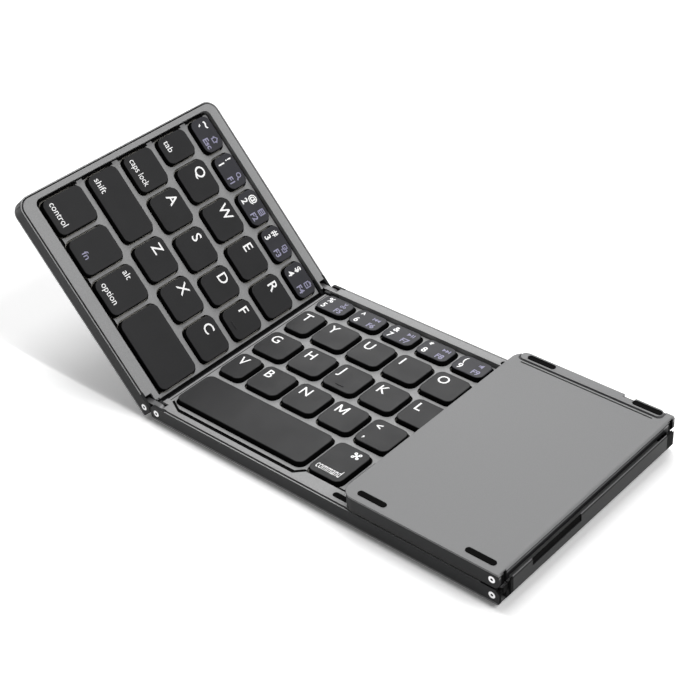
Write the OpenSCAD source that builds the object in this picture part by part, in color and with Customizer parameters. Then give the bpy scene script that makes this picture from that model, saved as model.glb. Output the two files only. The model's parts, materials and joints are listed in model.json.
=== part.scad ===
// Three-panel folding keyboard with a touch panel.
// Rest state: the right panel lies folded over the centre panel, the left panel is half raised.
// Origin: on the desk, under the middle of the centre panel. +X right, +Y away from the typist, +Z up.

/* [Panels] */
// Thickness of every panel over its bezel
panel_t = 6.2; // [5.8:0.1:9]
// Depth of every panel, front to rear
panel_d = 98; // [96:0.5:120]
// Distance between the two inner hinge axes of the centre panel
center_span = 150; // [146:0.5:180]
// Length of the left panel from its hinge axis to its outer edge
left_len = 86; // [84:0.5:110]
// Length of the right panel from its hinge axis to its outer edge
right_len = 61.6; // [56:0.2:74]
// Radius of the outer corners in plan
outer_r = 5; // [3:0.5:8]
// Angle that the left panel is raised to at rest
left_raise = 49; // [0:1:90]

/* [Shells] */
// Thickness of the bottom covers
cover_t = 0.7; // [0.6:0.05:1]
// Width of the thin rim round the top frames
rim_w = 0.45; // [0.4:0.05:0.8]
// Groove between the rim and the top frames
groove_w = 0.5; // [0.3:0.05:0.6]
// Height of the top frames over the rim
rim_drop = 0.3; // [0.1:0.05:0.6]
// Wall thickness under the top frames
wall_t = 2; // [1.7:0.1:2.6]
// Width of the bezel at the outer edge
bezel_side = 3; // [2.4:0.1:5]
// Width of the bezel at the front edge
bezel_front = 6.3; // [6.3:0.1:7]
// Width of the bezel at the rear edge
bezel_rear = 4.7; // [4.2:0.1:5.4]

/* [Hinges] */
// Distance between the two axes of one hinge
hinge_pitch = 6.4; // [6.3:0.05:7]
// Reach of a panel beyond its hinge axis
end_reach = 2.8; // [2.5:0.05:2.9]
// Radius of the lower edge at a hinge
end_corner_r = 1; // [0.9:0.05:1.4]
// Diameter of the hinge pins
pin_d = 1.6; // [1.2:0.1:1.8]
// Diameter of the pin heads
pin_head_d = 2.6; // [2.2:0.1:2.8]
// Length of the hinge pins
pin_len = 4.8; // [4.5:0.1:4.9]
// Radial play of the pins in the panels
pin_play = 0.05; // [0.02:0.01:0.1]
// Thickness of the hinge links
link_t = 2.4; // [1.8:0.1:2.4]
// Outer radius of the hinge links
link_r = 2.1; // [1.6:0.05:2.15]
// Thickness of the panel wall outside the links
ear_t = 1.1; // [0.9:0.05:1.2]
// Side play of the links in their pockets
link_play = 0.2; // [0.1:0.05:0.2]
// Play between the spines and the turning panel ends
spine_play = 0.24; // [0.2:0.02:0.3]
// Reach of the spines beyond the hinge axes
spine_lip = 0.3; // [0.2:0.05:0.4]

/* [Keys] */
// Width of the tab key in widths of a letter key
tab_share = 0.74; // [0.6:0.02:1]
// Width of the last key of the home row in widths of a letter key
home_share = 1.68; // [1.5:0.02:1.9]
// Depth of a number key at its face
number_key_d = 9.3; // [8:0.1:9.4]
// Width of the keys of the front row
front_key_w = 14.5; // [13:0.1:15]
// Depth of the keys of the front row
front_key_d = 17.9; // [16:0.1:18]
// Width of the first key of the half-step rows
split_key_w = 10.8; // [9:0.1:12]
// Side gap between two key faces
key_gap = 2.6; // [2.2:0.1:3]
// Front to rear gap between two key rows
row_gap = 3.6; // [3.2:0.1:4]
// Slope of a key from face to foot
key_slope = 0.2; // [0.1:0.05:0.3]
// Corner radius of a key
key_r = 2.6; // [1.5:0.1:3]
// Height of a key face over the key web
key_rise = 1.8; // [1.4:0.1:1.9]
// Depth of a key face under the bezel
key_sink = 0.2; // [0.1:0.05:0.5]
// Travel of a key
key_travel = 1.2; // [0.8:0.1:1.3]
// Gap round a key in the web
key_play = 0.5; // [0.3:0.05:0.55]
// Width of the retaining flange of a key
flange_w = 0.75; // [0.6:0.05:0.75]
// Thickness of the retaining flange of a key
flange_t = 0.5; // [0.4:0.05:0.6]
// Thickness of a key cap wall
cap_t = 0.9; // [0.7:0.1:1.2]
// Thickness of the key web
web_t = 0.8; // [0.6:0.05:0.9]

/* [Feet] */
// Length of a foot pad
foot_len = 11.7; // [8:0.1:13]
// Width of a foot pad
foot_w = 2.3; // [2:0.1:2.6]
// Height of the feet of the centre panel
foot_h = 1.5; // [1.4:0.1:2.5]
// Height of the feet of the side panels
side_foot_h = 0.3; // [0.2:0.1:1]
// Distance of the feet from the front and rear edges
foot_inset = 3.6; // [3.4:0.1:4]
// Height of the rear bar of the side panels
bar_h = 0.4; // [0.3:0.05:0.65]

/* [Inside] */
// Thickness of the switch boards
board_t = 0.4; // [0.3:0.05:0.45]
// Thickness of the dome sheets
sheet_t = 0.3; // [0.2:0.05:0.35]
// Width of the battery
battery_w = 40; // [30:1:44]
// Depth of the battery
battery_d = 46; // [30:1:50]
// Thickness of the battery
battery_t = 2.6; // [2:0.1:2.8]
// Width of the touch surface
touch_w = 50; // [40:0.5:52]
// Depth of the touch surface
touch_d = 84; // [60:0.5:86]
// Width of the charging socket
socket_w = 7.5; // [7:0.1:9]
// Height of the charging socket
socket_h = 2.6; // [2.4:0.1:3]
// Depth of the charging socket
socket_d = 5.4; // [4:0.1:7]

/* [Hidden] */
$fn = 48;

eps = 0.01;
half_d = panel_d / 2;
half_t = panel_t / 2;
half_span = center_span / 2;
pin_z = foot_h + half_t;

// Heights over the hinge axis
cover_top = -half_t + cover_t;
board_top = cover_top + board_t;
sheet_top = board_top + sheet_t;
key_top = half_t - key_sink;
web_top = key_top - key_rise;
web_bottom = web_top - web_t;
rim_top = half_t - rim_drop;
flange_gap = 0.2;
flange_top = web_bottom - flange_gap;
flange_bottom = flange_top - flange_t;
dome_top = key_top - cap_t - key_travel - 0.1;
dome_r = 2.4;
dome_taper = 0.6;

// Plan of the shells
frame_inset = rim_w + groove_w;
strip_end = 1.7;
frame_gap = 0.3;
end_wall_in = 0.9;
turn_r = half_t - 0.05;
end_sweep_r = sqrt(pow(end_reach - end_corner_r, 2) + pow(half_t - end_corner_r, 2)) + end_corner_r;
spine_in_r = end_sweep_r + spine_play;
spine_z = foot_h + half_t - 0.1;
spine_edge_r = 0.9;
spine_ridge_z = 2.6;
spine_len = panel_d - 2 * (ear_t + link_play + link_t);
link_end_sink = 0.9;

// Link pocket at the front and rear of each hinge end
pocket_w = link_t + 2 * link_play;
pocket_x = link_r + 0.9;
pocket_end = ear_t + pocket_w;
inner_ear_t = 1.3;
inner_ear_top = 1.9;
ear_len = pocket_x + 1.5;
cover_notch_x = 2.3;
tab_inset = 1.2;

// Notch of the spines for the flat cable
flex_front = 15;
flex_rear = 41;
flex_sink = 0.3;
flex_x = 3.8;

// Rows of keys: front edge and depth of the key faces, from the front edge of the panel
key_margin_front = 2;
key_margin_rear = 1.7;
key_field_d = panel_d - bezel_front - key_margin_front - bezel_rear - key_margin_rear;
key_d = whole_step((key_field_d - front_key_d - number_key_d - 4 * row_gap) / 3);
row_0 = bezel_front + key_margin_front;
row_1 = row_0 + front_key_d + row_gap;
row_2 = row_1 + key_d + row_gap;
row_3 = row_2 + key_d + row_gap;
row_4 = row_3 + key_d + row_gap;
ROWS = [[row_0, front_key_d], [row_1, key_d], [row_2, key_d], [row_3, key_d], [row_4, number_key_d]];
field_margin = 0.8;
center_margin = 1.6;
left_margin = 1.6;
left_field = left_len - bezel_side - left_margin - field_margin;
key_w = whole_step((left_field - 4 * key_gap) / (4 + tab_share));
center_field = center_span - 2 * center_margin;
center_key_w = whole_step((center_field - 7 * key_gap) / (7 + home_share));

function whole_step(v) = round(v * 50) / 50;
function total(v, n) = n <= 0 ? 0 : v[n - 1] + total(v, n - 1);
function rest(field, others) = field - total(others, len(others)) - len(others) * key_gap;
function even(field, n) = [for (i = [0:n - 1]) whole_step((field - (n - 1) * key_gap) / n)];
function same(w, n) = [for (i = [0:n - 1]) w];

caps_w = key_w + 0.5;
inner_w = (rest(left_field, [caps_w, key_w, key_w]) - key_gap) / 2;
LEFT_WIDTHS = [
    concat(same(front_key_w, 3), [rest(left_field, same(front_key_w, 3))]),
    concat([rest(left_field, same(key_w, 3))], same(key_w, 3)),
    [caps_w, key_w, key_w, inner_w, inner_w],
    concat([rest(left_field, same(key_w, 4))], same(key_w, 4)),
    even(left_field, 5)
];
upper_others = concat([split_key_w], same(center_key_w, 7));
lower_others = concat([split_key_w], same(center_key_w, 6));
CENTER_WIDTHS = [
    concat([rest(center_field, same(front_key_w, 5))], same(front_key_w, 5)),
    concat(lower_others, [rest(center_field, lower_others)]),
    concat(same(center_key_w, 7), [rest(center_field, same(center_key_w, 7))]),
    concat(upper_others, [rest(center_field, upper_others)]),
    even(center_field, 9)
];
arrow_gap = 1.6;

// Left edge and right edge of a key face in its panel's own X
function key_start(widths, row, i) = total(widths[row], i) + i * key_gap;
function left_key(row, i) = let (x = -field_margin - left_field + key_start(LEFT_WIDTHS, row, i))
    [x, x + LEFT_WIDTHS[row][i]];
function center_key(row, i) = let (x = -half_span + center_margin + key_start(CENTER_WIDTHS, row, i))
    [x, x + CENTER_WIDTHS[row][i]];

// Places of the feet along a panel, from its hinge axis
foot_near = 0.9 + foot_len / 2;
left_foot_far = left_len - 7 - foot_len / 2;
right_foot_far = right_len - 5.1 - foot_len / 2;
bar_w = 4;
bar_end = 0.7;
bar_groove_w = 0.6;
bar_ridge_w = 0.65;
bar_start = 2.3;
bar_groove_depth = 0.35;
notch_start = 12.6;
notch_len = 4.5;
notch_depth = 1.5;
pad_sink = 0.3;
moat_w = 0.5;
moat_front = 2.4;
moat_left = 1.5;
moat_right = 3.7;
moat_depth = 0.4;
scoop_land = 0.2;
run_out = 9;
recess_r = 2.5;
scoop_start = 2;
scoop_rest = 3;
scoop_past_bar = 4.5;
scoop_left = -half_span + scoop_start;
scoop_right = center_key(0, 0)[1] + scoop_past_bar;
board_inset_front = 6.4;
board_inset_rear = 6.1;
sheet_inset = 0.2;
board_side_play = 1;
board_past_axis = 0.6;
bumper_x = half_span - right_len - 0.4;
bumper_rise = 0.1;
bumper_rear = 0.6;
bumper_sink = 0.5;
screw_r = 0.6;
screw_head_r = 1;
screw_head_t = 0.25;
boss_r = 1.6;
screw_len = 2.2;

SHELL_DARK = "#3c3d3f";
SATIN_GREY = "#959799";
KEY_GREY = "#3f3f42";
RUBBER = "#1b1b1c";
STEEL = "#c8cacd";
BOARD = "#24503a";
SHEET = "#d9d6cc";

// ---- places of the bodies at rest ----
module in_left() {
    translate([-half_span - hinge_pitch, 0, pin_z]) rotate([0, left_raise, 0]) children();
}
module in_center() {
    translate([0, 0, pin_z]) children();
}
module in_right() {
    translate([half_span, 0, pin_z + hinge_pitch]) mirror([0, 0, 1]) children();
}
module in_left_link() {
    translate([-half_span, 0, pin_z]) mirror([1, 0, 0]) children();
}
module in_right_link() {
    translate([half_span, 0, pin_z]) rotate([0, -90, 0]) children();
}
module both_ends() {
    children();
    mirror([0, 1, 0]) children();
}
module both_hinges() {
    translate([half_span, 0, 0]) children();
    translate([-half_span, 0, 0]) mirror([1, 0, 0]) children();
}
module slab(z0, z1) {
    translate([0, 0, z0]) linear_extrude(height = z1 - z0) children();
}
module along_y(y0, y1) {
    translate([0, y1, 0]) rotate([90, 0, 0]) linear_extrude(height = y1 - y0) children();
}

// ---- plan shapes ----
module rounded_rect(x0, x1, y0, y1, r) {
    translate([x0 + r, y0]) square([x1 - x0 - 2 * r, y1 - y0]);
    translate([x0, y0 + r]) square([x1 - x0, y1 - y0 - 2 * r]);
    for (x = [x0 + r, x1 - r], y = [y0 + r, y1 - r]) translate([x, y]) circle(r);
}
module side_outline(length, end, inset) {
    r = outer_r - inset;
    x0 = -length + inset;
    hd = half_d - inset;
    translate([x0 + r, -hd]) square([end - x0 - r, 2 * hd]);
    translate([x0, -hd + r]) square([r + eps, 2 * (hd - r)]);
    for (y = [-hd + r, hd - r]) translate([x0 + r, y]) circle(r);
}
module center_outline(end, inset) {
    square([2 * (half_span + end), 2 * (half_d - inset)], center = true);
}
module pill(length, w) {
    rounded_rect(-length / 2, length / 2, -w / 2, w / 2, w / 2 - eps);
}
module key_plan(span, row, grow) {
    y0 = -half_d + ROWS[row][0];
    y1 = y0 + ROWS[row][1];
    g = key_slope + grow;
    rounded_rect(span[0] - g, span[1] + g, y0 - g, y1 + g, key_r + grow);
}
module arrow_plan(i, grow) {
    // 0 left, 1 lower half, 2 upper half, 3 right
    span = center_key(0, i == 0 ? 3 : i == 3 ? 5 : 4);
    y0 = -half_d + row_0;
    half_key = (front_key_d - arrow_gap) / 2;
    a = i == 2 ? y0 + half_key + arrow_gap : y0;
    b = i == 1 ? y0 + half_key : y0 + front_key_d;
    g = key_slope + min(grow, arrow_gap / 2 - key_slope - 0.1);
    rounded_rect(span[0] - g, span[1] + g, a - g, b + g, key_r);
}

// ---- side view of a hinge end, hinge axis at the origin, panel to the left ----
module end_view(length) {
    translate([-length, -half_t]) square([length, panel_t]);
    intersection() {
        circle(turn_r);
        translate([-eps, 0]) square([turn_r + 1, turn_r + 1]);
    }
    translate([-eps, -half_t]) square([end_reach - end_corner_r, half_t + eps]);
    translate([-eps, -half_t + end_corner_r]) square([end_reach, half_t - end_corner_r + eps]);
    translate([end_reach - end_corner_r, -half_t + end_corner_r]) circle(end_corner_r);
}
module end_trim(length) {
    along_y(-half_d - 1, half_d + 1) intersection() {
        end_view(length);
        translate([-length, -half_t]) square([length + end_reach, panel_t]);
    }
}
module link_pocket(z0) {
    both_ends() translate([-pocket_x, -half_d + ear_t, z0])
        cube([pocket_x + end_reach + 1, pocket_w, panel_t + 1]);
}
module pin_holes(r, head_r, head_t) {
    both_ends() translate([0, -half_d - eps, 0]) rotate([-90, 0, 0]) {
        cylinder(r = r, h = pin_len + 0.2);
        cylinder(r = head_r, h = head_t + eps);
    }
}
pin_head_t = 0.5;

// Blocks that hold the hinge pins, one hinge end
module ears() {
    both_ends() {
        translate([-ear_len, -half_d, cover_top]) cube([ear_len + end_reach, ear_t, rim_top - cover_top]);
        translate([-ear_len, -half_d, cover_top])
            cube([ear_len + end_reach, pocket_end + inner_ear_t, inner_ear_top - cover_top]);
    }
}
// Wall that closes a hinge end between the ears, under the top frame
module end_wall() {
    y0 = half_d - pocket_end - inner_ear_t;
    translate([end_wall_in, -y0 - eps, cover_top]) cube([end_reach - end_wall_in, 2 * y0 + 2 * eps,
        web_bottom - cover_top]);
}
module hinge_cuts() {
    link_pocket(cover_top - eps);
    pin_holes(pin_d / 2 + pin_play, pin_head_d / 2 + pin_play, pin_head_t + pin_play);
}
// Space that a top frame leaves for the pin blocks of one hinge end
module frame_hinge_cuts() {
    link_pocket(web_bottom - 1);
    translate([-eps, -half_d, web_top]) cube([end_reach + 1, panel_d, panel_t]);
    both_ends() {
        translate([-ear_len - frame_gap, -half_d, web_bottom - 1])
            cube([ear_len + end_reach + 1, pocket_end + inner_ear_t + frame_gap,
                inner_ear_top + frame_gap - web_bottom + 1]);
        translate([-ear_len - frame_gap, -half_d, web_bottom - 1])
            cube([ear_len + end_reach + 1, ear_t + frame_gap / 3, panel_t + 1]);
    }
}
module cover_hinge_cuts() {
    both_ends() translate([cover_notch_x, -half_d + ear_t, -half_t - 1])
        cube([end_reach + 1, pocket_w, cover_t + 2]);
}

// ---- feet and their screws ----
module foot_spots(xs, rear_inset) {
    for (x = xs) {
        translate([x, -half_d + foot_inset, 0]) children();
        translate([x, half_d - rear_inset, 0]) mirror([0, 1, 0]) children();
    }
}
module screw_holes() {
    translate([0, 0, -half_t - 1]) cylinder(r = screw_r, h = panel_t);
    translate([0, 0, cover_top - screw_head_t - cover_t]) cylinder(r = screw_head_r, h = cover_t);
}
module boss() {
    translate([0, 0, cover_top]) cylinder(r = boss_r, h = web_bottom - cover_top);
    translate([-boss_r, -foot_inset + 1, cover_top])
        cube([2 * boss_r, foot_inset - 1, web_bottom - cover_top]);
}
module screw() {
    z = cover_top - screw_head_t;
    translate([0, 0, z - 0.1]) cylinder(r = screw_head_r, h = 0.1);
    translate([0, 0, z]) cylinder(r = screw_r, h = screw_len);
}
module screws(xs, rear_inset) {
    color(STEEL) foot_spots(xs, rear_inset) difference() {
        screw();
        translate([0, 0, cover_top - screw_head_t - 0.2]) cylinder(r = 0.35, h = 0.5);
    }
}
rear_inset_side = bar_w / 2;
LEFT_FEET = [-foot_near, -left_foot_far];
RIGHT_FEET = [-foot_near, -right_foot_far];
CENTER_FEET = [half_span - foot_near, -half_span + foot_near];

// ---- cases ----
module side_case(length, feet, socket) {
    color(SHELL_DARK) intersection() {
        difference() {
            union() {
                difference() {
                    slab(cover_top, rim_top) side_outline(length, end_reach, 0);
                    slab(cover_top - 1, web_bottom) side_outline(length, end_reach + 1, wall_t);
                    slab(web_bottom - eps, panel_t) side_outline(length, end_reach + 1, rim_w);
                }
                ears();
                end_wall();
                intersection() {
                    foot_spots(feet, rear_inset_side) boss();
                    slab(cover_top, web_bottom) side_outline(length, end_reach, 0);
                }
            }
            hinge_cuts();
            foot_spots(feet, rear_inset_side) translate([0, 0, cover_top - 1])
                cylinder(r = screw_r, h = screw_len + 1 - screw_head_t + 0.2);
            if (socket) socket_opening();
        }
        end_trim(length);
    }
}
module center_case_shell() {
    difference() {
        slab(cover_top, rim_top) center_outline(end_reach, 0);
        slab(cover_top - 1, web_bottom) center_outline(end_reach + 1, wall_t);
        slab(web_bottom - eps, panel_t) center_outline(end_reach + 1, rim_w);
    }
    both_hinges() {
        ears();
        end_wall();
    }
    foot_spots(CENTER_FEET, foot_inset) boss();
}
module center_case() {
    color(SHELL_DARK) intersection() {
        difference() {
            center_case_shell();
            both_hinges() hinge_cuts();
            foot_spots(CENTER_FEET, foot_inset) translate([0, 0, cover_top - 1])
                cylinder(r = screw_r, h = screw_len + 1 - screw_head_t + 0.2);
        }
        both_trims();
    }
}
module both_trims() {
    both_hinges() end_trim(half_span);
}
socket_x = -right_len / 2 - 4;
module socket_opening() {
    translate([socket_x - socket_w / 2 - 0.1, half_d - wall_t - 1, -socket_h / 2 - 0.1])
        cube([socket_w + 0.2, wall_t + 2, socket_h + 0.2]);
}

// ---- bottom covers ----
module foot_pockets(xs, rear_inset, rear_base) {
    for (x = xs) {
        translate([x, -half_d + foot_inset, 0])
            slab(-half_t - 1, -half_t + pad_sink) pill(foot_len, foot_w);
        translate([x, half_d - rear_inset, 0])
            slab(-half_t - rear_base - 1, -half_t - rear_base + pad_sink) pill(foot_len, foot_w);
    }
    foot_spots(xs, rear_inset) screw_holes();
}
// Raised bar along the rear edge of a side panel
module bar_plan(length, grow) {
    rounded_rect(-length + bar_start - grow, -bar_end + grow, half_d - bar_w - grow, half_d + grow,
        bar_w / 2 - eps);
}
// Groove round the bar and the straight groove in front of it
module bar_grooves(length) {
    x0 = -length + bar_start + bar_w / 2;
    y1 = half_d - bar_w - bar_groove_w - bar_ridge_w;
    difference() {
        bar_plan(length, bar_groove_w);
        bar_plan(length, 0);
    }
    translate([x0, y1 - bar_groove_w]) square([-bar_end - bar_w / 2 - x0, bar_groove_w]);
}
module rear_bar(length) {
    slab(-half_t - bar_h, -half_t + eps) intersection() {
        bar_plan(length, 0);
        side_outline(length, end_reach, 0);
    }
}
module side_cover(length, feet) {
    color(SATIN_GREY) difference() {
        union() {
            intersection() {
                slab(-half_t, cover_top) side_outline(length, end_reach, 0);
                end_trim(length);
            }
            rear_bar(length);
        }
        slab(-half_t - 1, -half_t + bar_groove_depth) bar_grooves(length);
        translate([-notch_start - notch_len, half_d - notch_depth, -panel_t])
            cube([notch_len, notch_depth + 1, panel_t]);
        cover_hinge_cuts();
        foot_pockets(feet, rear_inset_side, bar_h);
    }
}
module center_bottom_cover() {
    color(SATIN_GREY) difference() {
        intersection() {
            slab(-half_t, cover_top) center_outline(end_reach, 0);
            both_trims();
        }
        both_hinges() cover_hinge_cuts();
        foot_pockets(CENTER_FEET, foot_inset, 0);
    }
}
module feet(xs, rear_inset, rear_base, h) {
    color(RUBBER) for (x = xs) {
        translate([x, -half_d + foot_inset, 0]) slab(-half_t - h, -half_t + pad_sink) pill(foot_len, foot_w);
        translate([x, half_d - rear_inset, 0])
            slab(-half_t - rear_base - h, -half_t - rear_base + pad_sink) pill(foot_len, foot_w);
    }
}

// ---- key frames ----
module left_key_holes(grow) {
    for (row = [0:4], i = [0:len(LEFT_WIDTHS[row]) - 1]) key_plan(left_key(row, i), row, grow);
}
module center_key_holes(grow) {
    for (i = [0:2]) key_plan(center_key(0, i), 0, grow);
    for (i = [0:3]) arrow_plan(i, grow * 0.6);
    for (row = [1:4], i = [0:len(CENTER_WIDTHS[row]) - 1]) key_plan(center_key(row, i), row, grow);
}
module left_recess(inset, front) {
    rounded_rect(-left_len + bezel_side + inset, end_reach + run_out, -half_d + bezel_front + front,
        half_d - bezel_rear - inset, recess_r - inset);
}
// Part of the key web that the moat leaves at its full height
module left_land() {
    left_recess(moat_w, moat_front);
    translate([-field_margin, -half_d + bezel_front + moat_w])
        square([field_margin + end_reach + run_out, panel_d - bezel_front - bezel_rear - 2 * moat_w]);
}
module left_key_frame() {
    color(SATIN_GREY) difference() {
        slab(web_bottom, half_t) side_outline(left_len, strip_end, frame_inset);
        slab(web_top, panel_t) left_recess(0, 0);
        slab(web_top - moat_depth, panel_t) difference() {
            left_recess(0, 0);
            left_land();
        }
        slab(web_bottom - 1, web_top + 1) left_key_holes(key_play);
        frame_hinge_cuts();
    }
}
// Thumb scoop in the front bezel, beside the right space bar
module thumb_scoop() {
    depth = bezel_front - scoop_rest;
    y1 = -half_d + bezel_front;
    y0 = -half_d + scoop_rest;
    polygon([[scoop_left, y1 + 1], [scoop_left, y1], [scoop_left + 2 * depth, y0],
        [scoop_right - depth, y0], [scoop_right, y1], [scoop_right, y1 + 1]]);
}
module center_recess() {
    translate([-half_span - run_out, -half_d + bezel_front])
        square([center_span + 2 * run_out, panel_d - bezel_front - bezel_rear]);
    thumb_scoop();
}
// Part of the key web that the moat leaves at its full height
module center_land() {
    y1 = -half_d + bezel_front;
    left_foot = scoop_left + moat_left * sqrt(5);
    right_foot = scoop_right - moat_right * sqrt(2);
    translate([-half_span - run_out, y1 + moat_front])
        square([center_span + 2 * run_out, panel_d - bezel_front - bezel_rear - moat_w - moat_front]);
    polygon([[left_foot + 2 * scoop_land, y1 - scoop_land], [right_foot - scoop_land, y1 - scoop_land],
        [right_foot + moat_front + eps, y1 + moat_front + eps],
        [left_foot - 2 * (moat_front + eps), y1 + moat_front + eps]]);
    translate([-half_span - run_out, y1 + moat_w])
        square([left_foot - 2 * moat_front + half_span + run_out, moat_front]);
    translate([half_span - center_margin, y1 + moat_w]) square([center_margin + run_out, moat_front]);
}
module center_key_frame() {
    color(SATIN_GREY) difference() {
        slab(web_bottom, half_t) center_outline(strip_end, frame_inset);
        slab(web_top, panel_t) center_recess();
        slab(web_top - moat_depth, panel_t) difference() {
            center_recess();
            center_land();
        }
        slab(web_bottom - 1, web_top + 1) center_key_holes(key_play);
        both_hinges() frame_hinge_cuts();
        slab(half_t - bumper_sink, panel_t) bumper_plan();
    }
}
module bumper_plan() {
    for (y = [-half_d + foot_inset, half_d - foot_inset + bumper_rear])
        translate([bumper_x, y]) pill(foot_len, foot_w);
}
module fold_bumpers() {
    color(RUBBER) slab(half_t - bumper_sink, half_t + bumper_rise) bumper_plan();
}

// ---- keys ----
module cap(z_top) {
    // children(0) plan of the foot, children(1) plan of the inside, children(2) plan of the flange
    difference() {
        union() {
            slab(flange_top - eps, z_top) children(0);
            slab(flange_bottom, flange_top) children(2);
        }
        slab(flange_bottom - 1, z_top - cap_t) children(1);
    }
}
module key(span, row) {
    color(KEY_GREY) cap(key_top) {
        key_plan(span, row, 0);
        key_plan(span, row, -cap_t);
        key_plan(span, row, flange_w);
    }
}
module arrow_key(i) {
    color(KEY_GREY) cap(key_top) {
        arrow_plan(i, 0);
        arrow_plan(i, -cap_t);
        arrow_plan(i, flange_w);
    }
}
module left_panel_key(row, i) {
    in_left() key(left_key(row, i), row);
}
module center_panel_keys(row, first, last) {
    in_center() for (i = [first:last]) key(center_key(row, i), row);
}
module dome() {
    translate([0, 0, sheet_top - eps])
        cylinder(r1 = dome_r, r2 = dome_r * dome_taper, h = dome_top - sheet_top);
}
module key_middle(span, row) {
    translate([(span[0] + span[1]) / 2, -half_d + ROWS[row][0] + ROWS[row][1] / 2, 0]) children();
}
module left_board_plan(inset) {
    rounded_rect(-left_len + wall_t + board_side_play + inset, board_past_axis - inset,
        -half_d + board_inset_front + inset, half_d - board_inset_rear - inset, 1);
}
module center_board_plan(inset) {
    x1 = half_span + board_past_axis - inset;
    rounded_rect(-x1, x1, -half_d + board_inset_front + inset, half_d - board_inset_rear - inset, 1);
}
module left_dome_sheet() {
    color(SHEET) {
        slab(board_top, sheet_top) left_board_plan(sheet_inset);
        for (row = [0:4], i = [0:len(LEFT_WIDTHS[row]) - 1]) key_middle(left_key(row, i), row) dome();
    }
}
module center_dome_sheet() {
    color(SHEET) {
        slab(board_top, sheet_top) center_board_plan(sheet_inset);
        for (i = [0:2]) key_middle(center_key(0, i), 0) dome();
        for (i = [3, 5]) key_middle(center_key(0, i), 0) dome();
        for (side = [-1, 1]) key_middle(center_key(0, 4), 0)
            translate([0, side * (front_key_d + arrow_gap) / 4, 0]) dome();
        for (row = [1:4], i = [0:len(CENTER_WIDTHS[row]) - 1]) key_middle(center_key(row, i), row) dome();
    }
}
module left_switch_board() {
    color(BOARD) slab(cover_top, board_top) left_board_plan(0);
}
module center_switch_board() {
    color(BOARD) slab(cover_top, board_top) center_board_plan(0);
}

// ---- touch panel ----
touch_shift = 0.6;
touch_x = -(right_len - frame_inset) / 2 - touch_shift;
touch_board_t = 0.5;
touch_top = key_top;
touch_t = 1.2;
touch_edge = 2;
touch_play = 0.15;
board_top_z = touch_top - touch_t;
module touch_plan(w, d, r) {
    translate([touch_x, 0]) rounded_rect(-w / 2, w / 2, -d / 2, d / 2, r);
}
// Space that the pieces round the charging socket leave for it
module socket_room() {
    play = 0.3;
    translate([socket_x - socket_w / 2 - play, half_d - socket_d - 1, -half_t])
        cube([socket_w + 2 * play, socket_d + 2, half_t + socket_h / 2 + 0.2]);
}
module right_top_cover() {
    color(SATIN_GREY) difference() {
        slab(web_bottom, half_t) side_outline(right_len, 0, frame_inset);
        slab(0, panel_t) touch_plan(touch_w + 2 * touch_play, touch_d + 2 * touch_play, 3);
        slab(-half_t, board_top_z) touch_plan(touch_w + 2 * touch_edge, touch_d + 2 * touch_edge, 3);
        socket_room();
        frame_hinge_cuts();
    }
}
module touchpad() {
    color("#4a4b4e") slab(board_top_z, touch_top) touch_plan(touch_w, touch_d, 3 - touch_play);
}
module touch_board() {
    board_edge = touch_edge - 0.2;
    color(BOARD) difference() {
        slab(board_top_z - touch_board_t, board_top_z)
            touch_plan(touch_w + 2 * board_edge, touch_d + 2 * board_edge, 2.8);
        socket_room();
    }
}
module battery() {
    color("#9aa3ad") translate([touch_x, -half_d + 10 + battery_d / 2, 0])
        slab(cover_top, cover_top + battery_t)
            rounded_rect(-battery_w / 2, battery_w / 2, -battery_d / 2, battery_d / 2, 1.2);
}
main_board_d = 30;
main_board_t = cover_t - 0.1;
module main_board() {
    board_y = half_d - wall_t - 0.3;
    color(BOARD) difference() {
        slab(cover_top, cover_top + main_board_t)
            rounded_rect(touch_x - touch_w / 2, touch_x + touch_w / 2, board_y - main_board_d, board_y, 1);
        foot_spots(RIGHT_FEET, rear_inset_side) translate([0, 0, -panel_t]) cylinder(r = boss_r + 0.3,
            h = 2 * panel_t);
    }
}
module usb_socket() {
    shell = 0.3;
    y1 = half_d - 0.4;
    color(STEEL) {
        difference() {
            translate([socket_x - socket_w / 2, y1 - socket_d, -socket_h / 2])
                cube([socket_w, socket_d, socket_h]);
            translate([socket_x - socket_w / 2 + shell, y1 - socket_d + shell, -socket_h / 2 + shell])
                cube([socket_w - 2 * shell, socket_d, socket_h - 2 * shell]);
        }
        translate([socket_x - socket_w / 2 + 1.5, y1 - socket_d + eps, -0.3])
            cube([socket_w - 3, socket_d - 1, 0.6]);
        translate([socket_x - socket_w / 2 + 1, y1 - socket_d + 0.4, cover_top + main_board_t])
            cube([socket_w - 2, 2, -socket_h / 2 - cover_top - main_board_t + eps]);
    }
}

// ---- hinges, inner axis at the origin, outer axis at +X ----
module spine_view(z_out) {
    difference() {
        intersection() {
            rounded_rect(-spine_lip, hinge_pitch + spine_lip, -z_out, 0, spine_edge_r);
            translate([-spine_lip - 1, -z_out - 1]) square([hinge_pitch + 4, z_out + 1 - spine_ridge_z]);
        }
        circle(spine_in_r);
        translate([hinge_pitch, 0]) circle(spine_in_r);
    }
}
module spine() {
    color(SHELL_DARK) difference() {
        along_y(-spine_len / 2, spine_len / 2) spine_view(spine_z);
        translate([flex_x, -half_d + flex_front, -spine_z - 1])
            cube([hinge_pitch, flex_rear - flex_front, spine_z + 1]);
    }
}
module flex_cover() {
    color(RUBBER) intersection() {
        along_y(-half_d + flex_front, -half_d + flex_rear) spine_view(spine_z - flex_sink);
        translate([flex_x, -half_d, -spine_z]) cube([hinge_pitch, panel_d, spine_z]);
    }
}
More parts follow.
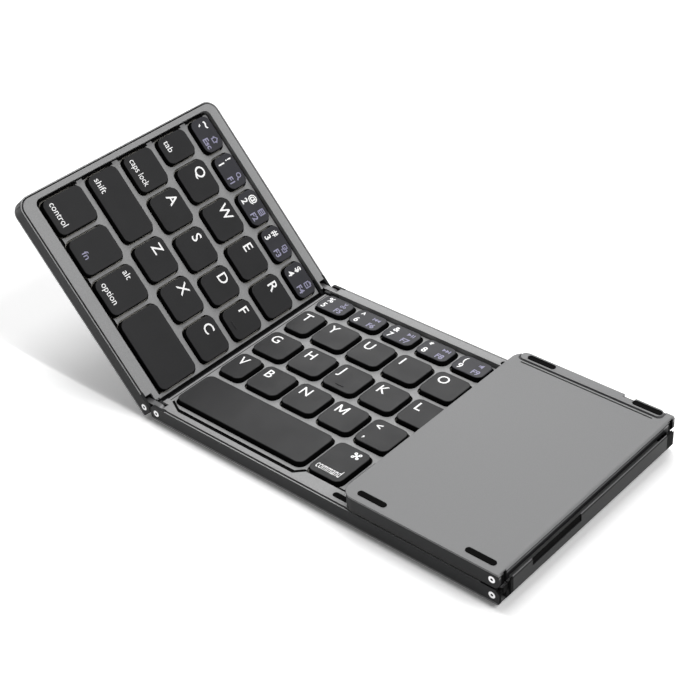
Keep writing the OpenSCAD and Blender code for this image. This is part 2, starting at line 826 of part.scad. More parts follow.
module link_view() {
    difference() {
        union() {
            circle(link_r);
            translate([hinge_pitch, 0]) circle(link_r);
            translate([0, -link_r]) square([hinge_pitch, 2 * link_r]);
            translate([end_reach - 0.05, -spine_ridge_z - 0.7]) square([hinge_pitch - 2 * end_reach + 0.1,
                spine_ridge_z + 0.7]);
            spine_view(spine_z - link_end_sink);
        }
        circle(pin_d / 2);
        translate([hinge_pitch, 0]) circle(pin_d / 2);
    }
}
module hinge_links() {
    y0 = -half_d + ear_t + link_play;
    color(SATIN_GREY) both_ends() along_y(y0, y0 + link_t) link_view();
}
module hinge_pin() {
    rotate([-90, 0, 0]) difference() {
        union() {
            cylinder(r = pin_d / 2, h = pin_len);
            cylinder(r = pin_head_d / 2, h = pin_head_t);
        }
        translate([0, 0, -eps]) cylinder(r = pin_d / 2 - 0.35, h = 0.6);
    }
}
module hinge_pins() {
    color(STEEL) both_ends() for (x = [0, hinge_pitch]) translate([x, -half_d, 0]) hinge_pin();
}

in_center() center_case();
in_center() center_bottom_cover();
in_center() center_key_frame();
in_center() center_dome_sheet();
in_center() center_switch_board();
in_center() feet(CENTER_FEET, foot_inset, 0, foot_h);  // center_feet
in_center() screws(CENTER_FEET, foot_inset);  // center_screws
in_center() fold_bumpers();
in_left() side_case(left_len, LEFT_FEET, false);  // left_case
in_left() side_cover(left_len, LEFT_FEET);  // left_bottom_cover
in_left() left_key_frame();
in_left() left_dome_sheet();
in_left() left_switch_board();
in_left() feet(LEFT_FEET, rear_inset_side, bar_h, side_foot_h);  // left_feet
in_left() screws(LEFT_FEET, rear_inset_side);  // left_screws
in_right() side_case(right_len, RIGHT_FEET, true);  // right_case
in_right() side_cover(right_len, RIGHT_FEET);  // right_bottom_cover
in_right() right_top_cover();
in_right() touchpad();
in_right() touch_board();
in_right() battery();
in_right() main_board();
in_right() usb_socket();
in_right() feet(RIGHT_FEET, rear_inset_side, bar_h, side_foot_h);  // right_feet
in_right() screws(RIGHT_FEET, rear_inset_side);  // right_screws
in_left_link() spine();  // left_spine
in_left_link() hinge_links();  // left_hinge_links
in_left_link() hinge_pins();  // left_hinge_pins
in_left_link() flex_cover();  // left_flex_cover
in_right_link() spine();  // right_spine
in_right_link() hinge_links();  // right_hinge_links
in_right_link() hinge_pins();  // right_hinge_pins
in_right_link() flex_cover();  // right_flex_cover
for (i = [0:4]) left_panel_key(4, i);  // left_number_keys
left_panel_key(3, 0);  // tab_key
left_panel_key(3, 1);  // q_key
left_panel_key(3, 2);  // w_key
left_panel_key(3, 3);  // e_key
left_panel_key(3, 4);  // r_key
left_panel_key(2, 0);  // caps_lock_key
left_panel_key(2, 1);  // a_key
left_panel_key(2, 2);  // s_key
left_panel_key(2, 3);  // d_key
left_panel_key(2, 4);  // f_key
left_panel_key(1, 0);  // left_shift_key
left_panel_key(1, 1);  // z_key
left_panel_key(1, 2);  // x_key
left_panel_key(1, 3);  // c_key
left_panel_key(0, 0);  // control_key
left_panel_key(0, 1);  // fn_key
left_panel_key(0, 2);  // alt_key
left_panel_key(0, 3);  // left_space_bar
center_panel_keys(4, 0, 8);  // center_number_keys
center_panel_keys(3, 0, 8);  // center_upper_keys
center_panel_keys(2, 0, 7);  // center_home_keys
center_panel_keys(1, 0, 7);  // center_lower_keys
center_panel_keys(0, 0, 0);  // right_space_bar
center_panel_keys(0, 1, 2);  // center_modifier_keys
in_center() for (i = [0:3]) arrow_key(i);  // arrow_keys
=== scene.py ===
"""Folding keyboard with a touch panel: finishes, key caps, legends, stage and camera.

Sizes in the classes are millimetres in a panel's own frame: X along the panel with its hinge
axis at 0, Y from the front edge (0) to the rear edge, Z up from the hinge axis. Every finished
piece has its place in its mesh, in metres.
"""

import json
import logging
import math
from collections.abc import Callable
from dataclasses import dataclass
from enum import Enum

import bpy
from mathutils import Matrix, Vector


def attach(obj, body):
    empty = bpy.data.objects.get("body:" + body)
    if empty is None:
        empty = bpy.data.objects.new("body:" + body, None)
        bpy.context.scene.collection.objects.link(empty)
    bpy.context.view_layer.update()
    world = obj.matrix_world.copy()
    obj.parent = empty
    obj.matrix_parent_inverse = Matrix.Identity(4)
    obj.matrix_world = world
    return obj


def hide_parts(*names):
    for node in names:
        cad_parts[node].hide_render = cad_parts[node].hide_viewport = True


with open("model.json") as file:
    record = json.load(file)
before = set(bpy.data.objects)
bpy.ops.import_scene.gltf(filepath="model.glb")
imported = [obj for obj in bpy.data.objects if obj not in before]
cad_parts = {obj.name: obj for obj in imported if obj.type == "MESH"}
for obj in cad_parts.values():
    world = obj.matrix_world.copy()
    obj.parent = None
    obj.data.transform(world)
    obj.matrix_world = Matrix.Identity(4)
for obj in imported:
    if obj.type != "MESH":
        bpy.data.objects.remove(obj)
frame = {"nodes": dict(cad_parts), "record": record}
LOG = logging.getLogger("folding_keyboard")
MM = 0.001
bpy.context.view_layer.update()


# ---------------------------------------------------------------- sizes
@dataclass(frozen=True)
class Build:
    """Sizes that the whole keyboard shares, the same as the part's own."""

    depth: float = 98.0
    half_span: float = 75.0
    pitch: float = 6.4
    thick: float = 6.2
    foot: float = 1.5
    raised: float = 49.0
    left_len: float = 86.0

    @property
    def axis_z(self) -> float:
        """Height of the lower hinge axes over the desk."""
        return self.foot + self.thick / 2


BUILD = Build()


class Panel(Enum):
    """The three panels, each with the CAD body that its pieces ride on."""

    LEFT = "left_panel"
    CENTER = "center_panel"
    RIGHT = "right_panel"

    def place(self) -> Matrix:
        """Gives the matrix from the panel's own millimetres to metres at rest."""
        shift = Matrix.Translation((0, -BUILD.depth / 2, 0))
        if self is Panel.LEFT:
            spot = Matrix.Translation((-BUILD.half_span - BUILD.pitch, 0, BUILD.axis_z))
            turn = Matrix.Rotation(math.radians(BUILD.raised), 4, "Y")
            return Matrix.Scale(MM, 4) @ spot @ turn @ shift
        if self is Panel.CENTER:
            spot = Matrix.Translation((-BUILD.half_span, 0, BUILD.axis_z))
            return Matrix.Scale(MM, 4) @ spot @ shift
        spot = Matrix.Translation((BUILD.half_span, 0, BUILD.axis_z + BUILD.pitch))
        over = Matrix.Scale(-1, 4, (0, 0, 1))
        return Matrix.Scale(MM, 4) @ spot @ over @ shift


# ---------------------------------------------------------------- finishes
class Nodes:
    """A short way to wire one material's node tree."""

    def __init__(self, name: str) -> None:
        """Starts an empty material.

        Args:
            name: the material's name.
        """
        self.material = bpy.data.materials.new(name)
        self.material.use_nodes = True
        self.tree = self.material.node_tree
        self.tree.nodes.clear()
        self.coords = self.add("ShaderNodeTexCoord")
        self.shader = self.add("ShaderNodeBsdfPrincipled")
        out = self.add("ShaderNodeOutputMaterial")
        self.link(self.shader.outputs[0], out.inputs[0])

    def add(self, kind: str, **values: object) -> bpy.types.Node:
        """Adds one node.

        Args:
            kind: the node's type.
            values: properties, and inputs by name with spaces as underscores.

        Returns:
            The new node.
        """
        node = self.tree.nodes.new(kind)
        for key, value in values.items():
            if hasattr(node, key):
                setattr(node, key, value)
            else:
                node.inputs[key.replace("_", " ")].default_value = value
        return node

    def link(self, out: bpy.types.NodeSocket, into: bpy.types.NodeSocket) -> None:
        """Joins two sockets."""
        self.tree.links.new(out, into)

    def noise(self, scale: float, detail: float = 2.0, rough: float = 0.5) -> bpy.types.NodeSocket:
        """Adds a noise on object coordinates.

        Args:
            scale: lumps to a metre.
            detail: octaves.
            rough: strength of the finer octaves.

        Returns:
            The noise's value socket.
        """
        node = self.add("ShaderNodeTexNoise", Scale=scale, Detail=detail, Roughness=rough)
        self.link(self.coords.outputs["Object"], node.inputs["Vector"])
        return node.outputs[0]

    def span(self, source: bpy.types.NodeSocket, low: float, high: float,
             at: tuple[float, float] = (0.0, 1.0)) -> bpy.types.NodeSocket:
        """Maps a value onto a range.

        Args:
            source: the value.
            low: result at the start of the source range.
            high: result at its end.
            at: start and end of the source range.

        Returns:
            The mapped value socket.
        """
        node = self.add("ShaderNodeMapRange")
        node.inputs["From Min"].default_value = at[0]
        node.inputs["From Max"].default_value = at[1]
        node.inputs["To Min"].default_value = low
        node.inputs["To Max"].default_value = high
        self.link(source, node.inputs["Value"])
        return node.outputs[0]

    def mix(self, factor: bpy.types.NodeSocket, a: tuple, b: tuple) -> bpy.types.NodeSocket:
        """Mixes two colours by a factor socket."""
        node = self.add("ShaderNodeMix", data_type="RGBA")
        node.inputs[6].default_value = (*a, 1.0)
        node.inputs[7].default_value = (*b, 1.0)
        self.link(factor, node.inputs[0])
        return node.outputs[2]

    def bump(self, height: bpy.types.NodeSocket, strength: float, depth: float,
             edge: float = 0.0) -> None:
        """Puts a height on the shader's normal.

        Args:
            height: the height socket.
            strength: strength of the bump.
            depth: bump distance in metres.
            edge: radius in metres that sharp edges look rounded by.
        """
        node = self.add("ShaderNodeBump", Strength=strength, Distance=depth)
        self.link(height, node.inputs["Height"])
        if edge > 0:
            soft = self.add("ShaderNodeBevel", samples=4, Radius=edge)
            self.link(soft.outputs[0], node.inputs["Normal"])
        self.link(node.outputs[0], self.shader.inputs["Normal"])


def shade(color: tuple[float, float, float], gain: float) -> tuple[float, float, float]:
    """Gives a colour times a gain."""
    return (color[0] * gain, color[1] * gain, color[2] * gain)


@dataclass(frozen=True)
class SatinCoat:
    """Fine sprayed metallic coat on the shells, with a faint grain."""

    name: str
    color: tuple[float, float, float]
    rough: float = 0.42
    metal: float = 0.0
    sparkle: float = 0.06
    edge: float = 0.00012
    gloss: float = 0.3

    def material(self) -> bpy.types.Material:
        """Builds the coat."""
        n = Nodes(self.name)
        grain = n.noise(3200.0, 3.0, 0.6)
        cloud = n.noise(18.0, 2.0)
        fleck = n.span(grain, 1.0 - self.sparkle, 1.0 + self.sparkle, (0.3, 0.7))
        drift = n.span(cloud, 0.975, 1.025, (0.3, 0.7))
        both = n.add("ShaderNodeMath", operation="MULTIPLY")
        n.link(fleck, both.inputs[0])
        n.link(drift, both.inputs[1])
        factor = n.span(both.outputs[0], 0.0, 1.0, (0.85, 1.15))
        n.link(n.mix(factor, shade(self.color, 0.85), shade(self.color, 1.15)),
               n.shader.inputs["Base Color"])
        n.link(n.span(cloud, self.rough - 0.03, self.rough + 0.04, (0.3, 0.7)),
               n.shader.inputs["Roughness"])
        n.shader.inputs["Metallic"].default_value = self.metal
        n.shader.inputs["Specular IOR Level"].default_value = self.gloss
        n.bump(grain, 0.12, 0.00002, self.edge)
        return n.material


@dataclass(frozen=True)
class MouldedPlastic:
    """Fine-textured moulded plastic, with a worn-smooth variation in its gloss."""

    name: str
    color: tuple[float, float, float]
    rough: float = 0.5
    gloss: float = 0.5
    grain: float = 0.25
    edge: float = 0.0

    def material(self) -> bpy.types.Material:
        """Builds the plastic."""
        n = Nodes(self.name)
        fine = n.noise(9000.0, 2.0, 0.6)
        wide = n.noise(120.0, 3.0)
        n.link(n.mix(n.span(wide, 0.0, 1.0, (0.3, 0.7)), shade(self.color, 0.93),
                     shade(self.color, 1.07)), n.shader.inputs["Base Color"])
        n.link(n.span(wide, self.rough - 0.04, self.rough + 0.05, (0.3, 0.7)),
               n.shader.inputs["Roughness"])
        n.shader.inputs["Specular IOR Level"].default_value = self.gloss
        n.bump(fine, self.grain, 0.00001, self.edge)
        return n.material


@dataclass(frozen=True)
class BrightSteel:
    """Turned or plated steel with faint scratches."""

    name: str
    color: tuple[float, float, float] = (0.92, 0.92, 0.93)
    rough: float = 0.3
    metal: float = 0.8

    def material(self) -> bpy.types.Material:
        """Builds the steel."""
        n = Nodes(self.name)
        lines = n.noise(2600.0, 4.0, 0.7)
        n.link(n.mix(n.span(lines, 0.0, 1.0, (0.3, 0.7)), shade(self.color, 0.9), self.color),
               n.shader.inputs["Base Color"])
        n.link(n.span(lines, self.rough, self.rough + 0.15), n.shader.inputs["Roughness"])
        n.shader.inputs["Metallic"].default_value = self.metal
        n.bump(lines, 0.05, 0.00001, 0.00008)
        return n.material


@dataclass(frozen=True)
class PrintedInk:
    """Ink of the legends, slightly uneven at the scale of the print, lightened by a painted glow."""

    name: str
    color: tuple[float, float, float]
    painted_glow: float = 0.0

    def material(self) -> bpy.types.Material:
        """Builds the ink."""
        n = Nodes(self.name)
        patch = n.noise(3000.0, 2.0)
        n.link(n.mix(n.span(patch, 0.0, 1.0, (0.35, 0.65)), shade(self.color, 0.94), self.color),
               n.shader.inputs["Base Color"])
        n.shader.inputs["Roughness"].default_value = 0.55
        # Painted light: the emission makes the print glow a little, though nothing lights it from inside.
        n.shader.inputs["Emission Color"].default_value = (*self.color, 1.0)
        n.shader.inputs["Emission Strength"].default_value = self.painted_glow
        return n.material


@dataclass(frozen=True)
class Laminate:
    """Circuit board with a woven grain and pale traces."""

    name: str
    color: tuple[float, float, float]
    trace: tuple[float, float, float]

    def material(self) -> bpy.types.Material:
        """Builds the board."""
        n = Nodes(self.name)
        cell = n.add("ShaderNodeTexVoronoi", feature="DISTANCE_TO_EDGE", Scale=260.0)
        n.link(n.coords.outputs["Object"], cell.inputs["Vector"])
        lines = n.span(cell.outputs[0], 1.0, 0.0, (0.02, 0.05))
        n.link(n.mix(lines, self.color, self.trace), n.shader.inputs["Base Color"])
        n.shader.inputs["Roughness"].default_value = 0.4
        n.bump(lines, 0.2, 0.00003)
        return n.material


class Finishes:
    """Every finish of the keyboard, built once."""

    def __init__(self) -> None:
        """Builds the materials."""
        self.cover = SatinCoat("cover_coat", (0.255, 0.256, 0.259)).material()
        self.frame = SatinCoat("frame_coat", (0.375, 0.376, 0.378), sparkle=0.14).material()
        self.lid = SatinCoat("lid_coat", (0.345, 0.346, 0.348)).material()
        # Painted shade: the case walls and the spines carry the same paint as the tops, darkened here to
        # near black for faces turned from the light.
        self.wall = SatinCoat("wall_coat_painted_shade", (0.02, 0.0205, 0.0215), rough=0.38, sparkle=0.04,
                              gloss=0.12).material()
        self.spine = SatinCoat("spine_coat_painted_shade", (0.024, 0.0245, 0.025), rough=0.34, sparkle=0.04,
                               gloss=0.12).material()
        # Pale coat of the hinge links; the same material is also a painted highlight on the right case's
        # wall band and the right spine's top.
        self.link = SatinCoat("link_coat_and_painted_highlight", (0.16, 0.16, 0.163), rough=0.3, metal=0.3).material()
        # Painted shade: darkens the floors of the shallow grooves in the bottom covers.
        self.groove = SatinCoat("groove_painted_shade", (0.07, 0.07, 0.072), rough=0.5).material()
        # Painted highlight: a light coat on the cases' upward rim faces, so that the rim's top edge shows
        # as a bright line.
        self.rim = SatinCoat("rim_painted_highlight", (0.34, 0.34, 0.343), rough=0.3).material()
        self.foil = SatinCoat("cell_foil", (0.5, 0.52, 0.55), rough=0.3, metal=0.8).material()
        self.face = MouldedPlastic("key_face", (0.0145, 0.0145, 0.0155), 0.42, 0.2).material()
        self.number_face = MouldedPlastic("number_key_face", (0.036, 0.036, 0.0425), 0.42,
                                          0.2).material()
        # Near black: the key caps' sides, partly their dark plastic and partly painted shade, and painted
        # shade in the key frames' moats and dark strips.
        self.side = MouldedPlastic("key_side_and_gap_shade", (0.003, 0.003, 0.003), 0.7, 0.03).material()
        # Painted shade, near black: the hinge links' sides, the spines' ends, the centre panel's
        # hinge-side walls and a line on the centre key frame.
        self.shade = MouldedPlastic("painted_shade_black", (0.005, 0.005, 0.005), 0.6, 0.05).material()
        # Painted shade: near black in the hollows of the hinge pins' heads.
        self.hole = MouldedPlastic("pin_recess_painted_shade", (0.004, 0.004, 0.004), 0.8, 0.05).material()
        self.sheet = MouldedPlastic("dome_sheet", (0.55, 0.53, 0.47), 0.35, 0.5).material()
        self.rubber = MouldedPlastic("pad_rubber", (0.004, 0.004, 0.004), 0.85, 0.04, grain=0.5,
                                     edge=0.0001).material()
        self.touch = MouldedPlastic("touch_surface", (0.06, 0.06, 0.063), 0.32, 0.5, grain=0.1,
                                    edge=0.0001).material()
        self.steel = BrightSteel("pin_steel").material()
        self.white = PrintedInk("white_ink", (0.96, 0.96, 0.96), 0.3).material()
        self.violet = PrintedInk("violet_ink", (0.36, 0.35, 0.5), 0.05).material()
        self.board = Laminate("board_green", (0.02, 0.1, 0.045), (0.09, 0.22, 0.1)).material()


# ---------------------------------------------------------------- modelling helpers
MERGE = 0.000002
FLAT_DEGREES = 1.0
SHARP_DEGREES = 50.0
SMOOTH_DEGREES = 32.0
LEVEL = 0.9


def only(piece: bpy.types.Object) -> None:
    """Leaves object mode with one piece selected and active.

    Args:
        piece: the piece.
    """
    if bpy.context.object and bpy.context.object.mode != "OBJECT":
        bpy.ops.object.mode_set(mode="OBJECT")
    bpy.ops.object.select_all(action="DESELECT")
    piece.select_set(True)
    bpy.context.view_layer.objects.active = piece


def pick(piece: bpy.types.Object, kind: str,
         test: Callable[[bpy.types.MeshPolygon | bpy.types.MeshEdge], bool]) -> None:
    """Selects faces or edges by a test and enters edit mode.

    Args:
        piece: the piece, in object mode.
        kind: "FACE" or "EDGE".
        test: takes a face or edge and says whether it is selected.
    """
    only(piece)
    bpy.ops.object.mode_set(mode="EDIT")
    bpy.ops.mesh.select_mode(type=kind)
    bpy.ops.mesh.select_all(action="DESELECT")
    bpy.ops.object.mode_set(mode="OBJECT")
    items = piece.data.polygons if kind == "FACE" else piece.data.edges
    for item in items:
        item.select = bool(test(item))
    bpy.ops.object.mode_set(mode="EDIT")


def settle(piece: bpy.types.Object, place: Matrix) -> bpy.types.Object:
    """Puts a piece's place in its mesh.

    Args:
        piece: the piece, modelled in a panel's own millimetres.
        place: matrix to metres in the shared frame.

    Returns:
        The piece, at the origin.
    """
    only(piece)
    matrix = place @ piece.matrix_world
    piece.matrix_world = Matrix.Identity(4)
    piece.data.transform(matrix)
    if matrix.determinant() < 0:
        piece.data.flip_normals()
    piece.data.update()
    return piece


def smooth(piece: bpy.types.Object, degrees: float = SMOOTH_DEGREES) -> None:
    """Smooths a piece's shading below an angle."""
    only(piece)
    bpy.ops.object.shade_smooth_by_angle(angle=math.radians(degrees))


def flatten(piece: bpy.types.Object) -> None:
    """Keeps the shading of large flat faces flat up to their eased edges."""
    level = piece.modifiers.new("flat_faces", "WEIGHTED_NORMAL")
    level.keep_sharp = True
    level.weight = 100
    only(piece)
    bpy.ops.object.modifier_apply(modifier=level.name)


def dress(piece: bpy.types.Object, *materials: bpy.types.Material) -> None:
    """Gives a piece its materials in slot order."""
    piece.data.materials.clear()
    for material in materials:
        piece.data.materials.append(material)


def copy_of(piece: bpy.types.Object, name: str) -> bpy.types.Object:
    """Copies a piece with its own mesh.

    Args:
        piece: the pattern.
        name: the copy's name.

    Returns:
        The copy.
    """
    twin = piece.copy()
    twin.data = piece.data.copy()
    twin.name = name
    bpy.context.scene.collection.objects.link(twin)
    return twin


def skin(node: str, edge: float) -> bpy.types.Object:
    """Makes a piece with eased edges from a CAD node, cut where its finish or its painted light and shade
    change.

    Args:
        node: the CAD node.
        edge: width of the eased edges in millimetres.

    Returns:
        The piece, in metres.
    """
    source = frame["nodes"][node]
    piece = bpy.data.objects.new(node + "_skin", source.data.copy())
    bpy.context.scene.collection.objects.link(piece)
    pick(piece, "FACE", lambda face: True)
    bpy.ops.mesh.remove_doubles(threshold=MERGE)
    bpy.ops.mesh.dissolve_limited(angle_limit=math.radians(FLAT_DEGREES))
    bpy.ops.object.mode_set(mode="OBJECT")
    ease = piece.modifiers.new("eased_edges", "BEVEL")
    ease.width = edge * MM
    ease.segments = 2
    ease.limit_method = "ANGLE"
    ease.angle_limit = math.radians(SHARP_DEGREES)
    ease.use_clamp_overlap = True
    only(piece)
    bpy.ops.object.modifier_apply(modifier=ease.name)
    for cut_node, axis, places in PAINTED_LIGHT_CUTS:
        if cut_node == node:
            cut_across(piece, node, axis, places)
    smooth(piece)
    flatten(piece)
    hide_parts(node)
    return piece


def cut_across(piece: bpy.types.Object, node: str, axis: str, places: tuple[float, ...]) -> None:
    """Cuts a piece's faces across at some places, so that they can differ in finish or in painted light
    and shade.

    Args:
        piece: the piece, in place at rest.
        node: its CAD node.
        axis: "X", "Y" or "Z" of its panel's own frame.
        places: distances along that axis in millimetres.
    """
    place = Panel[node.split("_")[0].upper()].place()
    unit = Vector([float(name == axis) for name in "XYZ"])
    along = (place.to_3x3() @ unit).normalized()
    for at in places:
        pick(piece, "FACE", lambda face: True)
        bpy.ops.mesh.bisect(plane_co=place @ (unit * at), plane_no=along)
        bpy.ops.object.mode_set(mode="OBJECT")


# ---------------------------------------------------------------- keys
KEY_GAP = 2.6


@dataclass(frozen=True)
class KeyField:
    """Rows and columns of the keys of one panel, the same rule as the part's own.

    first and last are the ends of the rows. others holds the widths that each row names.
    open_slot tells where a row's one key of the width left over stands, -1 where there is none.
    A row that names no width has as many equal keys as its open_slot is below zero.
    """

    first: float
    last: float
    others: tuple[tuple[float, ...], ...]
    open_slot: tuple[int, ...]
    gap: float = KEY_GAP

    def spans(self, row: int) -> list[tuple[float, float]]:
        """Gives the left and right edges of the faces of a row.

        Args:
            row: row number, 0 at the front.

        Returns:
            One pair to a key.
        """
        widths = list(self.others[row])
        field_w = self.last - self.first
        if self.open_slot[row] >= 0:
            fill = field_w - sum(widths) - len(widths) * self.gap
            widths.insert(self.open_slot[row], fill)
        elif not widths:
            count = -self.open_slot[row]
            widths = [(field_w - (count - 1) * self.gap) / count] * count
        spans = []
        at = self.first
        for width in widths:
            spans.append((at, at + width))
            at += width + self.gap
        return spans


# ---------------------------------------------------------------- places on the panels
# The key fields: rim, moat inside it, and the widths and rows of the key faces.
RIM_W = 3.0
MOAT_W = 1.6
END_GAP = 0.8
KEYS_ACROSS = 4.74
CAPS_EXTRA = 0.5
KEY_W = round((BUILD.left_len - RIM_W - MOAT_W - END_GAP - 4 * KEY_GAP) / KEYS_ACROSS * 50) / 50
FRONT_W = 14.5
SPLIT_W = 10.8
ROWS = ((8.3, 26.2), (29.8, 43.7), (47.3, 61.2), (64.8, 78.7), (82.3, 91.6))
LEFT_FIRST = -(BUILD.left_len - RIM_W - MOAT_W)
LEFT_INNER = ((-LEFT_FIRST - END_GAP) - (KEY_W + CAPS_EXTRA) - 2 * KEY_W - 4 * KEY_GAP) / 2
RIGHT_AXIS = 2 * BUILD.half_span
LEFT_KEYS = KeyField(LEFT_FIRST, -END_GAP,
                     ((FRONT_W,) * 3, (KEY_W,) * 3,
                      (KEY_W + CAPS_EXTRA, KEY_W, KEY_W, LEFT_INNER, LEFT_INNER),
                      (KEY_W,) * 4, ()), (3, 0, -1, 0, -5))
CENTER_KEYS = KeyField(MOAT_W, RIGHT_AXIS - MOAT_W,
                       ((FRONT_W,) * 5, (SPLIT_W,) + (KEY_W,) * 6, (KEY_W,) * 7,
                        (SPLIT_W,) + (KEY_W,) * 7, ()), (0, 7, 7, 8, -9))

# Heights over a panel's hinge axis, and the axes of the pins in metres.
RIM_TOP = BUILD.thick / 2 - 0.3
WEB_TOP = BUILD.thick / 2 - 2.0
MOAT_FLOOR = WEB_TOP - 0.4
GROOVE_FLOOR = -BUILD.thick / 2 + 0.35
PIN_AXES = tuple((x * MM, z * MM) for x, z in (
    (-BUILD.half_span - BUILD.pitch, BUILD.axis_z), (-BUILD.half_span, BUILD.axis_z),
    (BUILD.half_span, BUILD.axis_z), (BUILD.half_span, BUILD.axis_z + BUILD.pitch)))

# Places along a panel's own axes where the finish of a piece changes, mostly where painted shade or a
# painted highlight starts.
EAR_LEN = 4.5
EAR_CUTS = {"center_case": (EAR_LEN, RIGHT_AXIS - EAR_LEN)}
SHADE_GAP = 0.3
STRIP_SHADE = 0.6
GAP_SHADE_LINE = (-0.8, -0.45)
WALL_HIGHLIGHT_BAND = (-2.1, -1.3)
SPINE_END_SHADE = (5.0, 91.0)
ROW_SHADE = 0.5
SHADE_SPANS = ((0.0, ROWS[0][1] + ROW_SHADE),
              *((low - ROW_SHADE, high + ROW_SHADE) for low, high in ROWS[1:-1]),
              (ROWS[-1][0] - ROW_SHADE, BUILD.depth))
PAINTED_LIGHT_CUTS = (
    ("left_case", "X", (-EAR_LEN,)),
    ("center_case", "X", EAR_CUTS["center_case"]),
    ("right_case", "X", (-EAR_LEN,)),
    ("right_case", "Z", WALL_HIGHLIGHT_BAND),
    ("left_key_frame", "X", (LEFT_FIRST - SHADE_GAP, STRIP_SHADE)),
    ("left_key_frame", "Y", tuple(y for span in SHADE_SPANS for y in span)[1:-1]),
    ("center_key_frame", "X", GAP_SHADE_LINE),
    ("right_spine", "Y", SPINE_END_SHADE),
)


# ---------------------------------------------------------------- marks of the keys
LETTER_H = 4.25
WORD_H = 2.8
SIGN_H = 3.0


@dataclass(frozen=True)
class Mark:
    """One printed mark: words, or a sign by name, at a place on the key's face.

    x counts from the face's left edge. y counts from its front edge, or back from its rear edge
    where it is negative. A width of 0 leaves the words as wide as they come.
    """

    words: str
    x: float
    y: float
    height: float
    violet: bool = False
    sign: bool = False
    width: float = 0.0


def letter(text: str) -> tuple[Mark, ...]:
    """Gives the mark of a letter key."""
    if text == "M":
        return (Mark("em", 4.5, -4.2, LETTER_H, sign=True),)
    return (Mark(text, 2.2, -2.0, LETTER_H),)


def word(text: str, width: float, high: str = "", high_width: float = 0.0) -> tuple[Mark, ...]:
    """Gives the marks of a key with small words, lower left and optionally upper left."""
    marks = [Mark(text, 1.7, 2.5, WORD_H, width=width)]
    if high:
        marks.append(Mark(high, 1.7, -2.2, WORD_H, width=high_width))
    return tuple(marks)


def pair(high: str, low: str) -> tuple[Mark, ...]:
    """Gives the marks of a key with two signs one over the other."""
    return (Mark(high, 2.4, -2.0, 3.3), Mark(low, 2.4, 2.6, 3.3))


def function(sign: str, text: str) -> tuple[Mark, ...]:
    """Gives the two violet marks of a number key."""
    return (Mark(sign, 10.2, 6.5, SIGN_H, violet=True, sign=True), Mark(text, 10.2, 1.3, 2.6, violet=True))


def numeral(high: str, low: str, sign: str, text: str) -> tuple[Mark, ...]:
    """Gives the four marks of a number key."""
    return (Mark(high, 2.1, -1.2, WORD_H), Mark(low, 2.1, 1.3, WORD_H), *function(sign, text))


def arrow(way: str, y: float) -> tuple[Mark, ...]:
    """Gives the mark of an arrow key."""
    return (Mark(way, 7.2, y, SIGN_H, sign=True),)


@dataclass(frozen=True)
class KeySpot:
    """One key: its CAD node, its place in the field and its marks."""

    node: str
    row: int
    column: int
    marks: tuple[Mark, ...] = ()
    homing: bool = False
    part: str = ""


def run_of(node: str, row: int, first: int, keys: tuple[tuple[Mark, ...], ...]) -> tuple[KeySpot, ...]:
    """Gives the spots of keys side by side in one node.

    Args:
        node: the CAD node.
        row: row number, 0 at the front.
        first: column of the first key.
        keys: the marks of each key.

    Returns:
        One spot to a key.
    """
    return tuple(KeySpot(node, row, column, marks) for column, marks in enumerate(keys, first))


LEFT_SPOTS = (
    KeySpot("control_key", 0, 0, word("control", 9.9)),
    KeySpot("fn_key", 0, 1, (Mark("fn", 7.1, 2.9, WORD_H, violet=True, width=2.9),)),
    KeySpot("alt_key", 0, 2, word("option", 8.8, "alt", 3.5)),
    KeySpot("left_space_bar", 0, 3),
    KeySpot("left_shift_key", 1, 0, word("shift", 6.1)),
    *(KeySpot(f"{t.lower()}_key", 1, i, letter(t)) for i, t in enumerate("ZXC", 1)),
    KeySpot("caps_lock_key", 2, 0, word("caps lock", 11.4)),
    *(KeySpot(f"{t.lower()}_key", 2, i, letter(t), t == "F") for i, t in enumerate("ASDF", 1)),
    KeySpot("tab_key", 3, 0, word("tab", 4.6)),
    *(KeySpot(f"{t.lower()}_key", 3, i, letter(t)) for i, t in enumerate("QWER", 1)),
    KeySpot("left_number_keys", 4, 0,
            (Mark("~", 1.9, -0.5, 3.9), Mark("`", 1.9, 0.55, 3.9), *function("home", "Esc"))),
    *run_of("left_number_keys", 4, 1, (
        numeral("!", "1", "search", "F1"), numeral("@", "2", "page", "F2"),
        numeral("#", "3", "copy", "F3"), numeral("$", "4", "paste", "F4"))),
)

